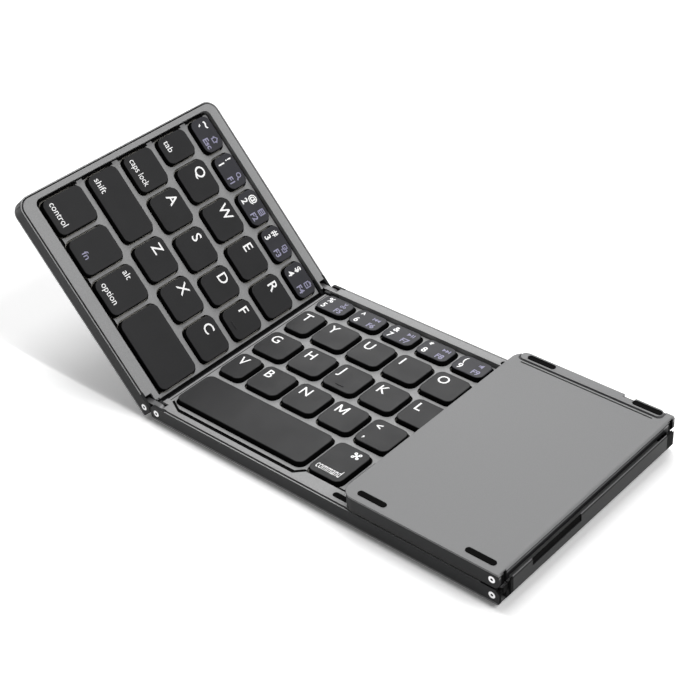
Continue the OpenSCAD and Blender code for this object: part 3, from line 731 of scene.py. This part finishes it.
CENTER_SPOTS = (
    KeySpot("right_space_bar", 0, 0),
    KeySpot("center_modifier_keys", 0, 1,
            (Mark("command", 1.7, 2.3, 3.7, width=10.6), Mark("knot", 9.9, -3.3, 2.8, sign=True))),
    KeySpot("center_modifier_keys", 0, 2, word("option", 8.8, "alt", 3.5)),
    KeySpot("arrow_keys", 0, 3, arrow("left", 8.9), part="left"),
    KeySpot("arrow_keys", 0, 4, arrow("down", 4.0), part="lower"),
    KeySpot("arrow_keys", 0, 4, arrow("up", 4.0), part="upper"),
    KeySpot("arrow_keys", 0, 5, arrow("right", 8.9), part="right"),
    *run_of("center_lower_keys", 1, 0, (
        *map(letter, "VBNM"), pair("<", ","), pair(">", "."), pair("?", "/"), word("shift", 6.1))),
    *(KeySpot("center_home_keys", 2, i, letter(t), t == "J") for i, t in enumerate("GHJKL")),
    *run_of("center_home_keys", 2, 5, (pair(":", ";"), pair('"', "'"), word("enter", 7.4))),
    *run_of("center_upper_keys", 3, 0, (
        *map(letter, "TYUIOP"), pair("{", "["), pair("}", "]"), pair("|", "\\"))),
    *run_of("center_number_keys", 4, 0, (
        numeral("%", "5", "cut", "F5"), numeral("^", "6", "back", "F6"),
        numeral("&", "7", "play", "F7"), numeral("*", "8", "next", "F8"),
        numeral("(", "9", "mute", "F9"), numeral(")", "0", "quiet", "F10"),
        numeral("_", "-", "loud", "F11"), numeral("+", "=", "lock", "F12"),
        (Mark("delete", 1.6, 1.7, 2.5, width=7.6),))),
)


@dataclass
class KeyCaps:
    """Key caps with their legends, one panel's field at a time."""

    finishes: Finishes
    top: float = 2.9
    web: float = 1.1
    slope: float = 0.2
    corner: float = 2.8
    narrow_rest: float = 0.3
    edge: float = 0.32
    dish: float = 0.06
    dish_rim: float = 0.9
    broad: float = 20.0
    sink: float = 0.7
    split_gap: float = 1.6
    bar_size: tuple[float, float, float] = (3.6, 0.6, 0.3)
    bar_in: float = 2.4
    bar_edge: float = 0.13
    bar_sink: float = 0.02
    made: int = 0

    def span_of(self, keys: KeyField, spot: KeySpot) -> tuple[float, float, float, float]:
        """Gives a key face's left, right, front and rear edges."""
        x0, x1 = keys.spans(spot.row)[spot.column]
        y0, y1 = ROWS[spot.row]
        half = (y1 - y0 - self.split_gap) / 2
        if spot.part == "lower":
            y1 = y0 + half
        if spot.part == "upper":
            y0 = y1 - half
        return x0, x1, y0, y1

    def cap(self, name: str, box: tuple[float, float, float, float], number: bool) -> bpy.types.Object:
        """Models one cap: a rounded, tapered block with eased top edges and a shallow dish.

        Args:
            name: the piece's name.
            box: left, right, front and rear edges of the face.
            number: True for a key of the number row.

        Returns:
            The cap in the panel's millimetres.
        """
        x0, x1, y0, y1 = box
        low = self.web - self.sink
        bpy.ops.object.select_all(action="DESELECT")
        bpy.ops.mesh.primitive_cube_add(size=1.0, location=((x0 + x1) / 2, (y0 + y1) / 2,
                                                           (self.top + low) / 2))
        piece = bpy.context.object
        piece.name = name
        piece.scale = (x1 - x0 + 2 * self.slope, y1 - y0 + 2 * self.slope, self.top - low)
        bpy.ops.object.transform_apply(location=True, rotation=False, scale=True)
        verts = piece.data.vertices
        pick(piece, "EDGE", lambda e: abs(verts[e.vertices[0]].co.z - verts[e.vertices[1]].co.z) > 0.5)
        corner = min(self.corner, (y1 - y0) / 2 - self.narrow_rest)
        bpy.ops.mesh.bevel(offset=corner, segments=6, affect="EDGES")
        bpy.ops.object.mode_set(mode="OBJECT")
        pick(piece, "FACE", lambda f: f.normal.z > LEVEL)
        wide = x1 - x0
        deep = y1 - y0
        bpy.ops.transform.resize(value=(wide / (wide + 2 * self.slope), deep / (deep + 2 * self.slope), 1),
                                 center_override=((x0 + x1) / 2, (y0 + y1) / 2, self.top))
        bpy.ops.mesh.bevel(offset=self.edge, segments=3, affect="EDGES")
        bpy.ops.object.mode_set(mode="OBJECT")
        pick(piece, "FACE", lambda f: f.normal.z > LEVEL and f.area > self.broad)
        bpy.ops.mesh.inset(thickness=self.dish_rim, depth=0)
        bpy.ops.transform.translate(value=(0, 0, -self.dish))
        bpy.ops.object.mode_set(mode="OBJECT")
        # Near-black sides against a lighter top: partly the caps' dark plastic, partly painted shade on
        # faces turned from the light.
        dress(piece, self.finishes.side, self.finishes.number_face if number else self.finishes.face)
        for face in piece.data.polygons:
            face.material_index = 1 if face.normal.z > 0.72 else 0
        smooth(piece, 40)
        flatten(piece)
        return piece

    def homing_bar(self, box: tuple[float, float, float, float]) -> bpy.types.Object:
        """Models the raised bar of a homing key near its front edge."""
        x0, x1, y0, _ = box
        mid = (x0 + x1) / 2
        bpy.ops.object.select_all(action="DESELECT")
        bpy.ops.mesh.primitive_cube_add(size=1.0,
                                        location=(mid, y0 + self.bar_in, self.top - self.bar_sink))
        piece = bpy.context.object
        piece.scale = self.bar_size
        bpy.ops.object.transform_apply(location=True, rotation=False, scale=True)
        pick(piece, "FACE", lambda f: True)
        bpy.ops.mesh.bevel(offset=self.bar_edge, segments=3, affect="EDGES")
        bpy.ops.object.mode_set(mode="OBJECT")
        dress(piece, self.finishes.face)
        smooth(piece, 60)
        return piece

    def build(self, panel: Panel, keys: KeyField, spots: tuple[KeySpot, ...]) -> None:
        """Builds the caps and legends of one panel.

        Args:
            panel: the panel they sit in.
            keys: the field's layout.
            spots: the keys.
        """
        press = Legends(self.finishes, self.top - self.dish)
        patterns: dict[tuple[float, float, bool], bpy.types.Object] = {}
        for spot in spots:
            box = self.span_of(keys, spot)
            tag = spot.node if spot.node.endswith(("key", "bar")) else f"{spot.node}_{spot.column}"
            if spot.part:
                tag = f"{spot.node}_{spot.part}"
            shape = (round(box[1] - box[0], 3), round(box[3] - box[2], 3), spot.row == 4)
            if shape not in patterns:
                origin = (0.0, shape[0], 0.0, shape[1])
                patterns[shape] = self.cap("cap_pattern", origin, spot.row == 4)
            piece = copy_of(patterns[shape], tag + "_cap")
            piece.location = (box[0], box[2], 0)
            bpy.context.view_layer.update()
            settle(piece, panel.place())
            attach(piece, spot.node)
            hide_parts(spot.node)
            if spot.homing:
                bar = settle(self.homing_bar(box), panel.place())
                bar.name = tag + "_homing_bar"
                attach(bar, spot.node)
            press.print_on(panel, spot, box, tag)
            self.made += 1
        for pattern in patterns.values():
            bpy.data.objects.remove(pattern)
        LOG.info("%s: %d keys", panel.value, len(spots))


# ---------------------------------------------------------------- signs and legends
LINE = 0.36
SIGN_SPAN = 2.6


def outline(x: float, y: float, w: float, h: float) -> tuple[tuple[object, ...], ...]:
    """Gives the four bars of a rectangular outline, centred at a point."""
    return (("bar", x, y + (h - LINE) / 2, w, LINE), ("bar", x, y - (h - LINE) / 2, w, LINE),
            ("bar", x - (w - LINE) / 2, y, LINE, h), ("bar", x + (w - LINE) / 2, y, LINE, h))


SPEAKER = (("wedge", 0, 0, 1.1, 180), ("bar", -0.75, 0, 0.6, 0.9))
SIGNS = {
    "em": (("bar", -1.16, 0, 0.4, 2.6), ("bar", 1.16, 0, 0.4, 2.6),
           ("bar", -0.56, 0.12, 0.42, 2.42, 28), ("bar", 0.56, 0.12, 0.42, 2.42, -28)),
    "home": (("bar", -0.55, 0.45, 1.9, LINE, 40), ("bar", 0.55, 0.45, 1.9, LINE, -40),
             ("bar", -0.8, -0.6, LINE, 1.3), ("bar", 0.8, -0.6, LINE, 1.3), ("bar", 0, -1.1, 1.9, LINE)),
    "search": (("ring", -0.25, 0.3, 0.95, 0.62), ("bar", 0.75, -0.75, 1.2, 0.42, -45)),
    "page": (*outline(0, 0, 2.2, 2.5), ("bar", 0, 0.35, 1.4, LINE), ("bar", 0, -0.4, 1.4, LINE)),
    "copy": (*outline(-0.3, 0.3, 1.7, 1.9), *outline(0.45, -0.45, 1.7, 1.9)),
    "paste": (*outline(0, -0.1, 2.2, 2.4), ("bar", 0, 1.15, 1.1, 0.6), ("bar", 0, -0.2, 1.2, LINE)),
    "cut": (("ring", -0.6, -0.8, 0.55, 0.25), ("ring", 0.6, -0.8, 0.55, 0.25),
            ("bar", 0.15, 0.4, LINE, 2.2, -22), ("bar", -0.15, 0.4, LINE, 2.2, 22)),
    "back": (("wedge", -0.5, 0, 0.85, 180), ("wedge", 0.75, 0, 0.85, 180), ("bar", -1.5, 0, LINE, 1.5)),
    "next": (("wedge", -0.75, 0, 0.85, 0), ("wedge", 0.5, 0, 0.85, 0), ("bar", 1.5, 0, LINE, 1.5)),
    "play": (("wedge", -0.8, 0, 0.95, 0), ("bar", 0.5, 0, LINE, 1.6), ("bar", 1.25, 0, LINE, 1.6)),
    "mute": SPEAKER,
    "quiet": (*SPEAKER, ("bar", 1.0, 0, LINE, 1.1)),
    "loud": (*SPEAKER, ("bar", 1.0, 0, LINE, 1.1), ("bar", 1.6, 0, LINE, 1.9)),
    "lock": (("bar", 0, -0.5, 2.0, 1.4), ("ring", 0, 0.35, 0.8, 0.5)),
    "knot": (*(("ring", x, y, 0.6, 0.2) for y in (0.9, -0.9) for x in (-0.9, 0.9)),
             ("bar", 0, 0, 2.2, 0.55, 45), ("bar", 0, 0, 2.2, 0.55, -45)),
    **{way: (("wedge", 0, 0, 1.3, turn),)
       for way, turn in (("left", 180), ("right", 0), ("up", 90), ("down", 270))},
}


@dataclass
class Legends:
    """Printed legends: words in a plain sans face and small signs drawn as flat shapes."""

    finishes: Finishes
    face: float
    lift: float = 0.012
    letter_weight: float = 0.008
    word_weight: float = 0.001
    numeral_weight: float = 0.022
    small_below: float = 4.0
    capital_share: float = 0.70
    word_share: float = 0.73

    def text(self, mark: Mark) -> bpy.types.Object:
        """Sets one mark's words as a flat mesh with its lower left corner at the origin.

        Args:
            mark: the mark.

        Returns:
            The mesh piece, scaled to the mark's height.
        """
        bpy.ops.object.select_all(action="DESELECT")
        bpy.ops.object.text_add(location=(0, 0, 0))
        piece = bpy.context.object
        piece.data.body = mark.words
        piece.data.size = 1.0
        if mark.width > 0:
            piece.data.offset = self.word_weight
        else:
            small = mark.height < self.small_below
            piece.data.offset = self.numeral_weight if small else self.letter_weight
        piece.data.resolution_u = 3
        bpy.ops.object.convert(target="MESH")
        piece = bpy.context.object
        single = len(mark.words) == 1 and mark.words.isalnum()
        scale = mark.height / (self.capital_share if single else self.word_share)
        across = scale
        if mark.width > 0:
            across = mark.width / max(v.co.x for v in piece.data.vertices)
        piece.data.transform(Matrix.Diagonal((across, scale, 1, 1)))
        return piece

    def bar(self, x: float, y: float, w: float, h: float, turn: float = 0.0) -> bpy.types.Object:
        """Lays one flat bar for a sign, centred at a point."""
        bpy.ops.object.select_all(action="DESELECT")
        bpy.ops.mesh.primitive_plane_add(size=1.0, location=(0, 0, 0))
        piece = bpy.context.object
        piece.data.transform(Matrix.Translation((x, y, 0)) @ Matrix.Rotation(math.radians(turn), 4, "Z")
                             @ Matrix.Diagonal((w, h, 1, 1)))
        return piece

    def ring(self, x: float, y: float, outer: float, inner: float, sides: int = 20) -> bpy.types.Object:
        """Lays one flat ring or, with no hole, a disc or triangle."""
        bpy.ops.object.select_all(action="DESELECT")
        bpy.ops.mesh.primitive_circle_add(vertices=sides, radius=outer, fill_type="NGON",
                                          location=(0, 0, 0))
        piece = bpy.context.object
        if inner > 0:
            pick(piece, "FACE", lambda f: True)
            bpy.ops.mesh.inset(thickness=outer - inner, depth=0)
            bpy.ops.mesh.delete(type="FACE")
            bpy.ops.object.mode_set(mode="OBJECT")
        piece.data.transform(Matrix.Translation((x, y, 0)))
        return piece

    def wedge(self, x: float, y: float, size: float, turn: float) -> bpy.types.Object:
        """Lays one flat triangle that points along a direction given in degrees."""
        piece = self.ring(0, 0, size, 0, 3)
        piece.data.transform(Matrix.Translation((x, y, 0))
                             @ Matrix.Rotation(math.radians(turn - 90), 4, "Z"))
        return piece

    def sign(self, mark: Mark) -> bpy.types.Object:
        """Draws one plain sign, centred at the origin.

        Args:
            mark: the mark, whose words name the sign.

        Returns:
            The sign as one flat mesh.
        """
        shapes = {"bar": self.bar, "ring": self.ring, "wedge": self.wedge}
        bits = [shapes[kind](*sizes) for kind, *sizes in SIGNS[mark.words]]
        scale = mark.height / SIGN_SPAN
        only(bits[0])
        for bit in bits:
            bit.select_set(True)
        if len(bits) > 1:
            bpy.ops.object.join()
        piece = bits[0]
        piece.data.transform(Matrix.Diagonal((scale, scale, 1, 1)))
        return piece

    def print_on(self, panel: Panel, spot: KeySpot, box: tuple[float, float, float, float],
                 tag: str) -> None:
        """Prints a key's marks just over its face.

        Args:
            panel: the panel of the key.
            spot: the key.
            box: its face's edges.
            tag: the key's piece name.
        """
        for violet in (False, True):
            marks = [m for m in spot.marks if m.violet is violet]
            if not marks:
                continue
            prints = []
            for mark in marks:
                piece = self.sign(mark) if mark.sign else self.text(mark)
                high = mark.height if mark.y < 0 and not mark.sign else 0.0
                if mark.violet and not mark.sign:
                    middle = max(v.co.x for v in piece.data.vertices) / 2
                    piece.data.transform(Matrix.Translation((-middle, 0, 0)))
                y = box[3] + mark.y - high if mark.y < 0 else box[2] + mark.y
                piece.data.transform(Matrix.Translation((box[0] + mark.x, y, self.face + self.lift)))
                prints.append(piece)
            only(prints[0])
            for piece in prints:
                piece.select_set(True)
            if len(prints) > 1:
                bpy.ops.object.join()
            piece = prints[0]
            piece.name = f"{tag}_{'violet' if violet else 'white'}_print"
            dress(piece, self.finishes.violet if violet else self.finishes.white)
            settle(piece, panel.place())
            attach(piece, spot.node)


# ---------------------------------------------------------------- shells, hinges, inside
@dataclass
class Shells:
    """Cases, covers, key frames, hinges and inner parts, eased and finished."""

    finishes: Finishes
    near: float = 0.03
    rim_near: float = 0.12
    web_under: float = 0.05
    web_over: float = 0.1
    recess_deep: float = 0.02
    recess_r: float = 0.5

    def build(self) -> None:
        """Makes an eased piece for each outer CAD node and finishes the inner ones."""
        f = self.finishes
        outer = {
            "center_case": (f.wall, 0.1, "dark_grey"), "left_case": (f.wall, 0.1, "dark_grey"),
            "right_case": (f.wall, 0.1, "dark_grey"),
            "center_bottom_cover": (f.cover, 0.25, "satin_grey"),
            "left_bottom_cover": (f.cover, 0.25, "satin_grey"),
            "right_bottom_cover": (f.cover, 0.25, "satin_grey"),
            "center_key_frame": (f.frame, 0.12, "satin_grey"),
            "left_key_frame": (f.frame, 0.12, "satin_grey"),
            "right_top_cover": (f.lid, 0.2, "satin_grey"),
            "left_spine": (f.spine, 0.2, "dark_grey"), "right_spine": (f.spine, 0.2, "dark_grey"),
            "left_hinge_links": (f.link, 0.2, "pale_metal"),
            "right_hinge_links": (f.link, 0.2, "pale_metal"),
            "left_hinge_pins": (f.steel, 0.1, "steel"), "right_hinge_pins": (f.steel, 0.1, "steel"),
            "left_flex_cover": (f.rubber, 0.1, "black_rubber"),
            "right_flex_cover": (f.rubber, 0.1, "black_rubber"),
            "center_feet": (f.rubber, 0.2, "black_rubber"), "left_feet": (f.rubber, 0.12, "black_rubber"),
            "right_feet": (f.rubber, 0.12, "black_rubber"),
            "fold_bumpers": (f.rubber, 0.1, "black_rubber"),
            "touchpad": (f.touch, 0.15, "touch_glass"),
        }
        for node, (material, edge, slot) in outer.items():
            piece = skin(node, edge)
            dress(piece, material)
            self.details(piece, node)
            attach(piece, body_with(node))
            LOG.info("%s: %d faces", piece.name, len(piece.data.polygons))
        self.finish_inner()

    def details(self, piece: bpy.types.Object, node: str) -> None:
        """Gives a piece painted light and shade: painted highlights on the rims and a few edges, and
        painted shade in the dark lines, moats, grooves, hinge sides and pin recesses.

        Args:
            piece: the eased piece.
            node: its CAD node.
        """
        f = self.finishes
        # Painted highlight: a light coat on the upward faces of each case's rim, away from the hinge ears.
        if node.endswith("_case"):
            low, high = EAR_CUTS.get(node, (-BUILD.left_len, -EAR_LEN))
            self.tint(piece, node, f.rim,
                      lambda at, up: up.z > 0.5 and at.z > RIM_TOP - self.rim_near
                      and low < at.x < high)
        # Painted shade: the centre panel's hinge-side walls at its right end go near black.
        if node in ("center_case", "center_bottom_cover"):
            self.tint(piece, "center_case", f.shade, lambda at, up: up.x > 0.5 and at.x > RIGHT_AXIS)
        # Painted highlight: a lighter band across the right case's wall at the hinge.
        if node == "right_case":
            self.tint(piece, node, f.link,
                      lambda at, up: up.x > 0.7 and at.x > 0 and WALL_HIGHLIGHT_BAND[0] < at.z < WALL_HIGHLIGHT_BAND[1])
        # Painted shade: the floors of the key frames' moats go near black.
        if node.endswith("_key_frame"):
            self.tint(piece, node, f.side,
                      lambda at, up: MOAT_FLOOR - self.near < at.z < WEB_TOP - self.web_under)
        # Painted shade: dark strips on the left key frame beside the hinge and along its outer edge
        # between the rows.
        if node == "left_key_frame":
            self.tint(piece, node, f.side, lambda at, up: up.z > LEVEL and at.z < WEB_TOP + self.web_over
                      and (at.x > STRIP_SHADE or (at.x < LEFT_FIRST - SHADE_GAP
                                                  and any(a < at.y < b for a, b in SHADE_SPANS))))
        # Painted shade: a dark line on the centre key frame beside the hinge.
        if node == "center_key_frame":
            self.tint(piece, node, f.shade, lambda at, up: up.z > LEVEL and at.z < WEB_TOP + self.web_over
                      and GAP_SHADE_LINE[0] < at.x < GAP_SHADE_LINE[1])
        # Painted shade in the floors of the bottom covers' rear grooves.
        if node.endswith("_bottom_cover"):
            self.tint(piece, node, f.groove, lambda at, up: up.z < -LEVEL
                      and abs(at.z - GROOVE_FLOOR) < self.near and at.y > BUILD.depth / 2)
        # Painted shade: the spines' end faces go near black.
        if node.endswith("_spine"):
            self.tint(piece, "center_case", f.shade, lambda at, up: abs(up.y) > 0.7)
        # Painted highlight on the right spine's top, and painted shade on its two ends.
        if node == "right_spine":
            self.tint(piece, "center_case", f.link, lambda at, up: up.z > 0.3 and at.z > BUILD.pitch)
            self.tint(piece, "center_case", f.shade,
                      lambda at, up: at.y < SPINE_END_SHADE[0] or at.y > SPINE_END_SHADE[1])
        # Painted shade: the hinge links' sides go near black, their tops keep the pale coat.
        if node.endswith("_links"):
            self.tint(piece, "center_case", f.shade, lambda at, up: up.z < 0.4)
        # Painted shade: the hollows in the pin heads go near black.
        if node.endswith("_pins"):
            piece.data.materials.append(f.hole)
            for face in piece.data.polygons:
                deep = BUILD.depth / 2 - abs(face.center.y / MM)
                across = min(math.hypot(face.center.x - x, face.center.z - z) for x, z in PIN_AXES) / MM
                if deep > self.recess_deep and across < self.recess_r:
                    face.material_index = 1

    def tint(self, piece: bpy.types.Object, node: str, material: bpy.types.Material,
             test: Callable[[Vector, Vector], bool]) -> None:
        """Gives the faces that pass a test a material of their own.

        Args:
            piece: the piece, in place at rest.
            node: a CAD node of the panel whose millimetres the test is given in.
            material: the material.
            test: takes a face's centre and its normal.
        """
        piece.data.materials.append(material)
        inner = local_to(node)
        turn = inner.to_3x3().normalized()
        for face in piece.data.polygons:
            if test(inner @ face.center, turn @ face.normal):
                face.material_index = len(piece.data.materials) - 1

    def finish_inner(self) -> None:
        """Gives the pieces inside the panels their finish."""
        f = self.finishes
        inner = {
            "center_dome_sheet": f.sheet, "left_dome_sheet": f.sheet,
            "center_switch_board": f.board, "left_switch_board": f.board,
            "touch_board": f.board, "main_board": f.board, "battery": f.foil,
            "usb_socket": f.steel, "center_screws": f.steel, "left_screws": f.steel,
            "right_screws": f.steel,
        }
        for node, material in inner.items():
            dress(frame["nodes"][node], material)


def local_to(node: str) -> Matrix:
    """Gives the matrix from metres at rest to the millimetres of a node's own panel."""
    panel = Panel[node.split("_")[0].upper()]
    return panel.place().inverted()


def body_with(node: str) -> str:
    """Gives the name of the body that a CAD node belongs to."""
    for body, nodes in frame["record"]["behaviour"]["bodies"].items():
        if node in nodes:
            return body
    raise KeyError(node)


# ---------------------------------------------------------------- studio
@dataclass
class Studio:
    """Pale floor, soft light and the camera."""

    azimuth: float = 43.625
    elevation: float = 35.355
    roll: float = -4.064
    focal_px: float = 1627.263
    picture: float = 700.0
    target: tuple[float, float, float] = (61.467, 38.003, 32.457)
    distance: float = 550.395
    far: float = 4.0
    surround: float = 0.15
    floor_albedo: float = 0.6
    floor_gain: float = 1.4
    shadow_reach: float = 0.25
    shadow_lift: float = 0.08
    front_lift: float = 0.25
    front_reach: float = 1.5

    def camera(self) -> None:
        """Places the camera at the picture's angle."""
        az, el, roll = (math.radians(v) for v in (self.azimuth, self.elevation, self.roll))
        back = Vector((math.sin(az) * math.cos(el), -math.cos(az) * math.cos(el), math.sin(el)))
        side = Vector((math.cos(az), math.sin(az), 0.0))
        up = back.cross(side)
        right = math.cos(roll) * side + math.sin(roll) * up
        top = -math.sin(roll) * side + math.cos(roll) * up
        offset = Vector((-BUILD.half_span, -BUILD.depth / 2, BUILD.axis_z))
        spot = (Vector(self.target) + back * self.distance + offset) * MM
        data = bpy.data.cameras.new("picture_camera")
        data.sensor_width = 36.0
        data.lens = self.focal_px / self.picture * data.sensor_width
        data.clip_start = 0.01
        data.clip_end = 20.0
        camera = bpy.data.objects.new("picture_camera", data)
        camera.matrix_world = Matrix((
            (right.x, top.x, back.x, spot.x), (right.y, top.y, back.y, spot.y),
            (right.z, top.z, back.z, spot.z), (0, 0, 0, 1)))
        bpy.context.scene.collection.objects.link(camera)
        bpy.context.scene.camera = camera

    def seen(self, tree: bpy.types.NodeTree) -> bpy.types.NodeSocket:
        """Adds the nodes that tell rays to the eye, and to reflections of it, from lighting rays.

        Args:
            tree: the node tree they go in.

        Returns:
            A value socket, 1 for camera, glossy and transmission rays.
        """
        path = tree.nodes.new("ShaderNodeLightPath")
        most = path.outputs["Is Camera Ray"]
        for ray in ("Is Glossy Ray", "Is Transmission Ray"):
            either = tree.nodes.new("ShaderNodeMath")
            either.operation = "MAXIMUM"
            tree.links.new(most, either.inputs[0])
            tree.links.new(path.outputs[ray], either.inputs[1])
            most = either.outputs[0]
        return most

    def floor(self) -> None:
        """Lays the floor: the object's shadow, lightened by a painted glow just in front of it, and plain
        white farther out.
        """
        bpy.ops.object.select_all(action="DESELECT")
        bpy.ops.mesh.primitive_plane_add(size=2 * self.far, location=(0, 0, -0.00002))
        plane = bpy.context.object
        plane.name = "floor"
        material = bpy.data.materials.new("floor_white")
        material.use_nodes = True
        tree = material.node_tree
        shader = tree.nodes["Principled BSDF"]
        seen = self.seen(tree)
        tint = tree.nodes.new("ShaderNodeMix")
        tint.inputs[2].default_value = self.floor_albedo
        tint.inputs[3].default_value = self.floor_gain
        tree.links.new(seen, tint.inputs[0])
        tree.links.new(tint.outputs[0], shader.inputs["Base Color"])
        shader.inputs["Roughness"].default_value = 0.9
        shader.inputs["Specular IOR Level"].default_value = 0.1
        coords = tree.nodes.new("ShaderNodeTexCoord")
        reach = tree.nodes.new("ShaderNodeVectorMath")
        reach.operation = "LENGTH"
        tree.links.new(coords.outputs["Object"], reach.inputs[0])
        fade = tree.nodes.new("ShaderNodeMapRange")
        fade.inputs["From Min"].default_value = self.shadow_reach
        fade.inputs["From Max"].default_value = 2 * self.shadow_reach
        fade.inputs["To Min"].default_value = self.shadow_lift
        tree.links.new(reach.outputs["Value"], fade.inputs["Value"])
        sides = tree.nodes.new("ShaderNodeSeparateXYZ")
        tree.links.new(coords.outputs["Object"], sides.inputs[0])
        # Painted light: for camera rays a glow lightens the floor in front of the front edge, paling the
        # shadow there.
        front = tree.nodes.new("ShaderNodeMapRange")
        front.inputs["From Min"].default_value = -BUILD.depth / 2 * MM
        front.inputs["From Max"].default_value = -(BUILD.depth / 2 + self.front_reach) * MM
        front.inputs["To Max"].default_value = self.front_lift
        tree.links.new(sides.outputs["Y"], front.inputs["Value"])
        both = tree.nodes.new("ShaderNodeMath")
        both.operation = "ADD"
        tree.links.new(fade.outputs[0], both.inputs[0])
        tree.links.new(front.outputs[0], both.inputs[1])
        lift = tree.nodes.new("ShaderNodeMath")
        lift.operation = "MULTIPLY"
        tree.links.new(seen, lift.inputs[0])
        tree.links.new(both.outputs[0], lift.inputs[1])
        tree.links.new(lift.outputs[0], shader.inputs["Emission Strength"])
        shader.inputs["Emission Color"].default_value = (1, 1, 1, 1)
        dress(plane, material)

    def world(self) -> None:
        """Sets an even surround, white to the eye and to reflections."""
        world = bpy.data.worlds.new("surround")
        bpy.context.scene.world = world
        world.use_nodes = True
        tree = world.node_tree
        back = tree.nodes["Background"]
        back.inputs[0].default_value = (1, 1, 1, 1)
        mix = tree.nodes.new("ShaderNodeMix")
        mix.inputs[2].default_value = self.surround
        mix.inputs[3].default_value = 1.0
        tree.links.new(self.seen(tree), mix.inputs[0])
        tree.links.new(mix.outputs[0], back.inputs[1])

    def lamp(self, name: str, azimuth: float, elevation: float, reach: float, size: float,
             power: float) -> None:
        """Hangs one soft square lamp that faces the keyboard.

        Args:
            name: the lamp's name.
            azimuth: compass angle in degrees, 0 in front, counted towards +X.
            elevation: angle over the desk in degrees.
            reach: distance in metres.
            size: side in metres.
            power: watts.
        """
        az, el = math.radians(azimuth), math.radians(elevation)
        spot = Vector((math.sin(az) * math.cos(el), -math.cos(az) * math.cos(el), math.sin(el))) * reach
        data = bpy.data.lights.new(name, "AREA")
        data.shape = "SQUARE"
        data.size = size
        data.energy = power
        lamp = bpy.data.objects.new(name, data)
        lamp.location = spot
        lamp.rotation_euler = (-spot).to_track_quat("-Z", "Y").to_euler()
        bpy.context.scene.collection.objects.link(lamp)

    def build(self) -> None:
        """Sets the stage."""
        bpy.context.scene.view_settings.view_transform = "Standard"
        self.camera()
        self.floor()
        self.world()
        self.lamp("top_softbox", azimuth=200.0, elevation=68.0, reach=1.4, size=0.9, power=8.6)
        self.lamp("right_softbox", azimuth=100.0, elevation=50.0, reach=1.5, size=0.7, power=8.0)
        self.lamp("rear_softbox", azimuth=222.0, elevation=34.0, reach=1.5, size=0.7, power=4.2)


def main() -> None:
    """Builds the keyboard's looks, piece by piece, and the stage."""
    logging.basicConfig(level=logging.INFO, format="%(message)s")
    finishes = Finishes()
    Studio().build()
    Shells(finishes).build()
    caps = KeyCaps(finishes)
    caps.build(Panel.LEFT, LEFT_KEYS, LEFT_SPOTS)
    caps.build(Panel.CENTER, CENTER_KEYS, CENTER_SPOTS)
    LOG.info("keys: %d", caps.made)


if __name__ == "__main__":
    main()
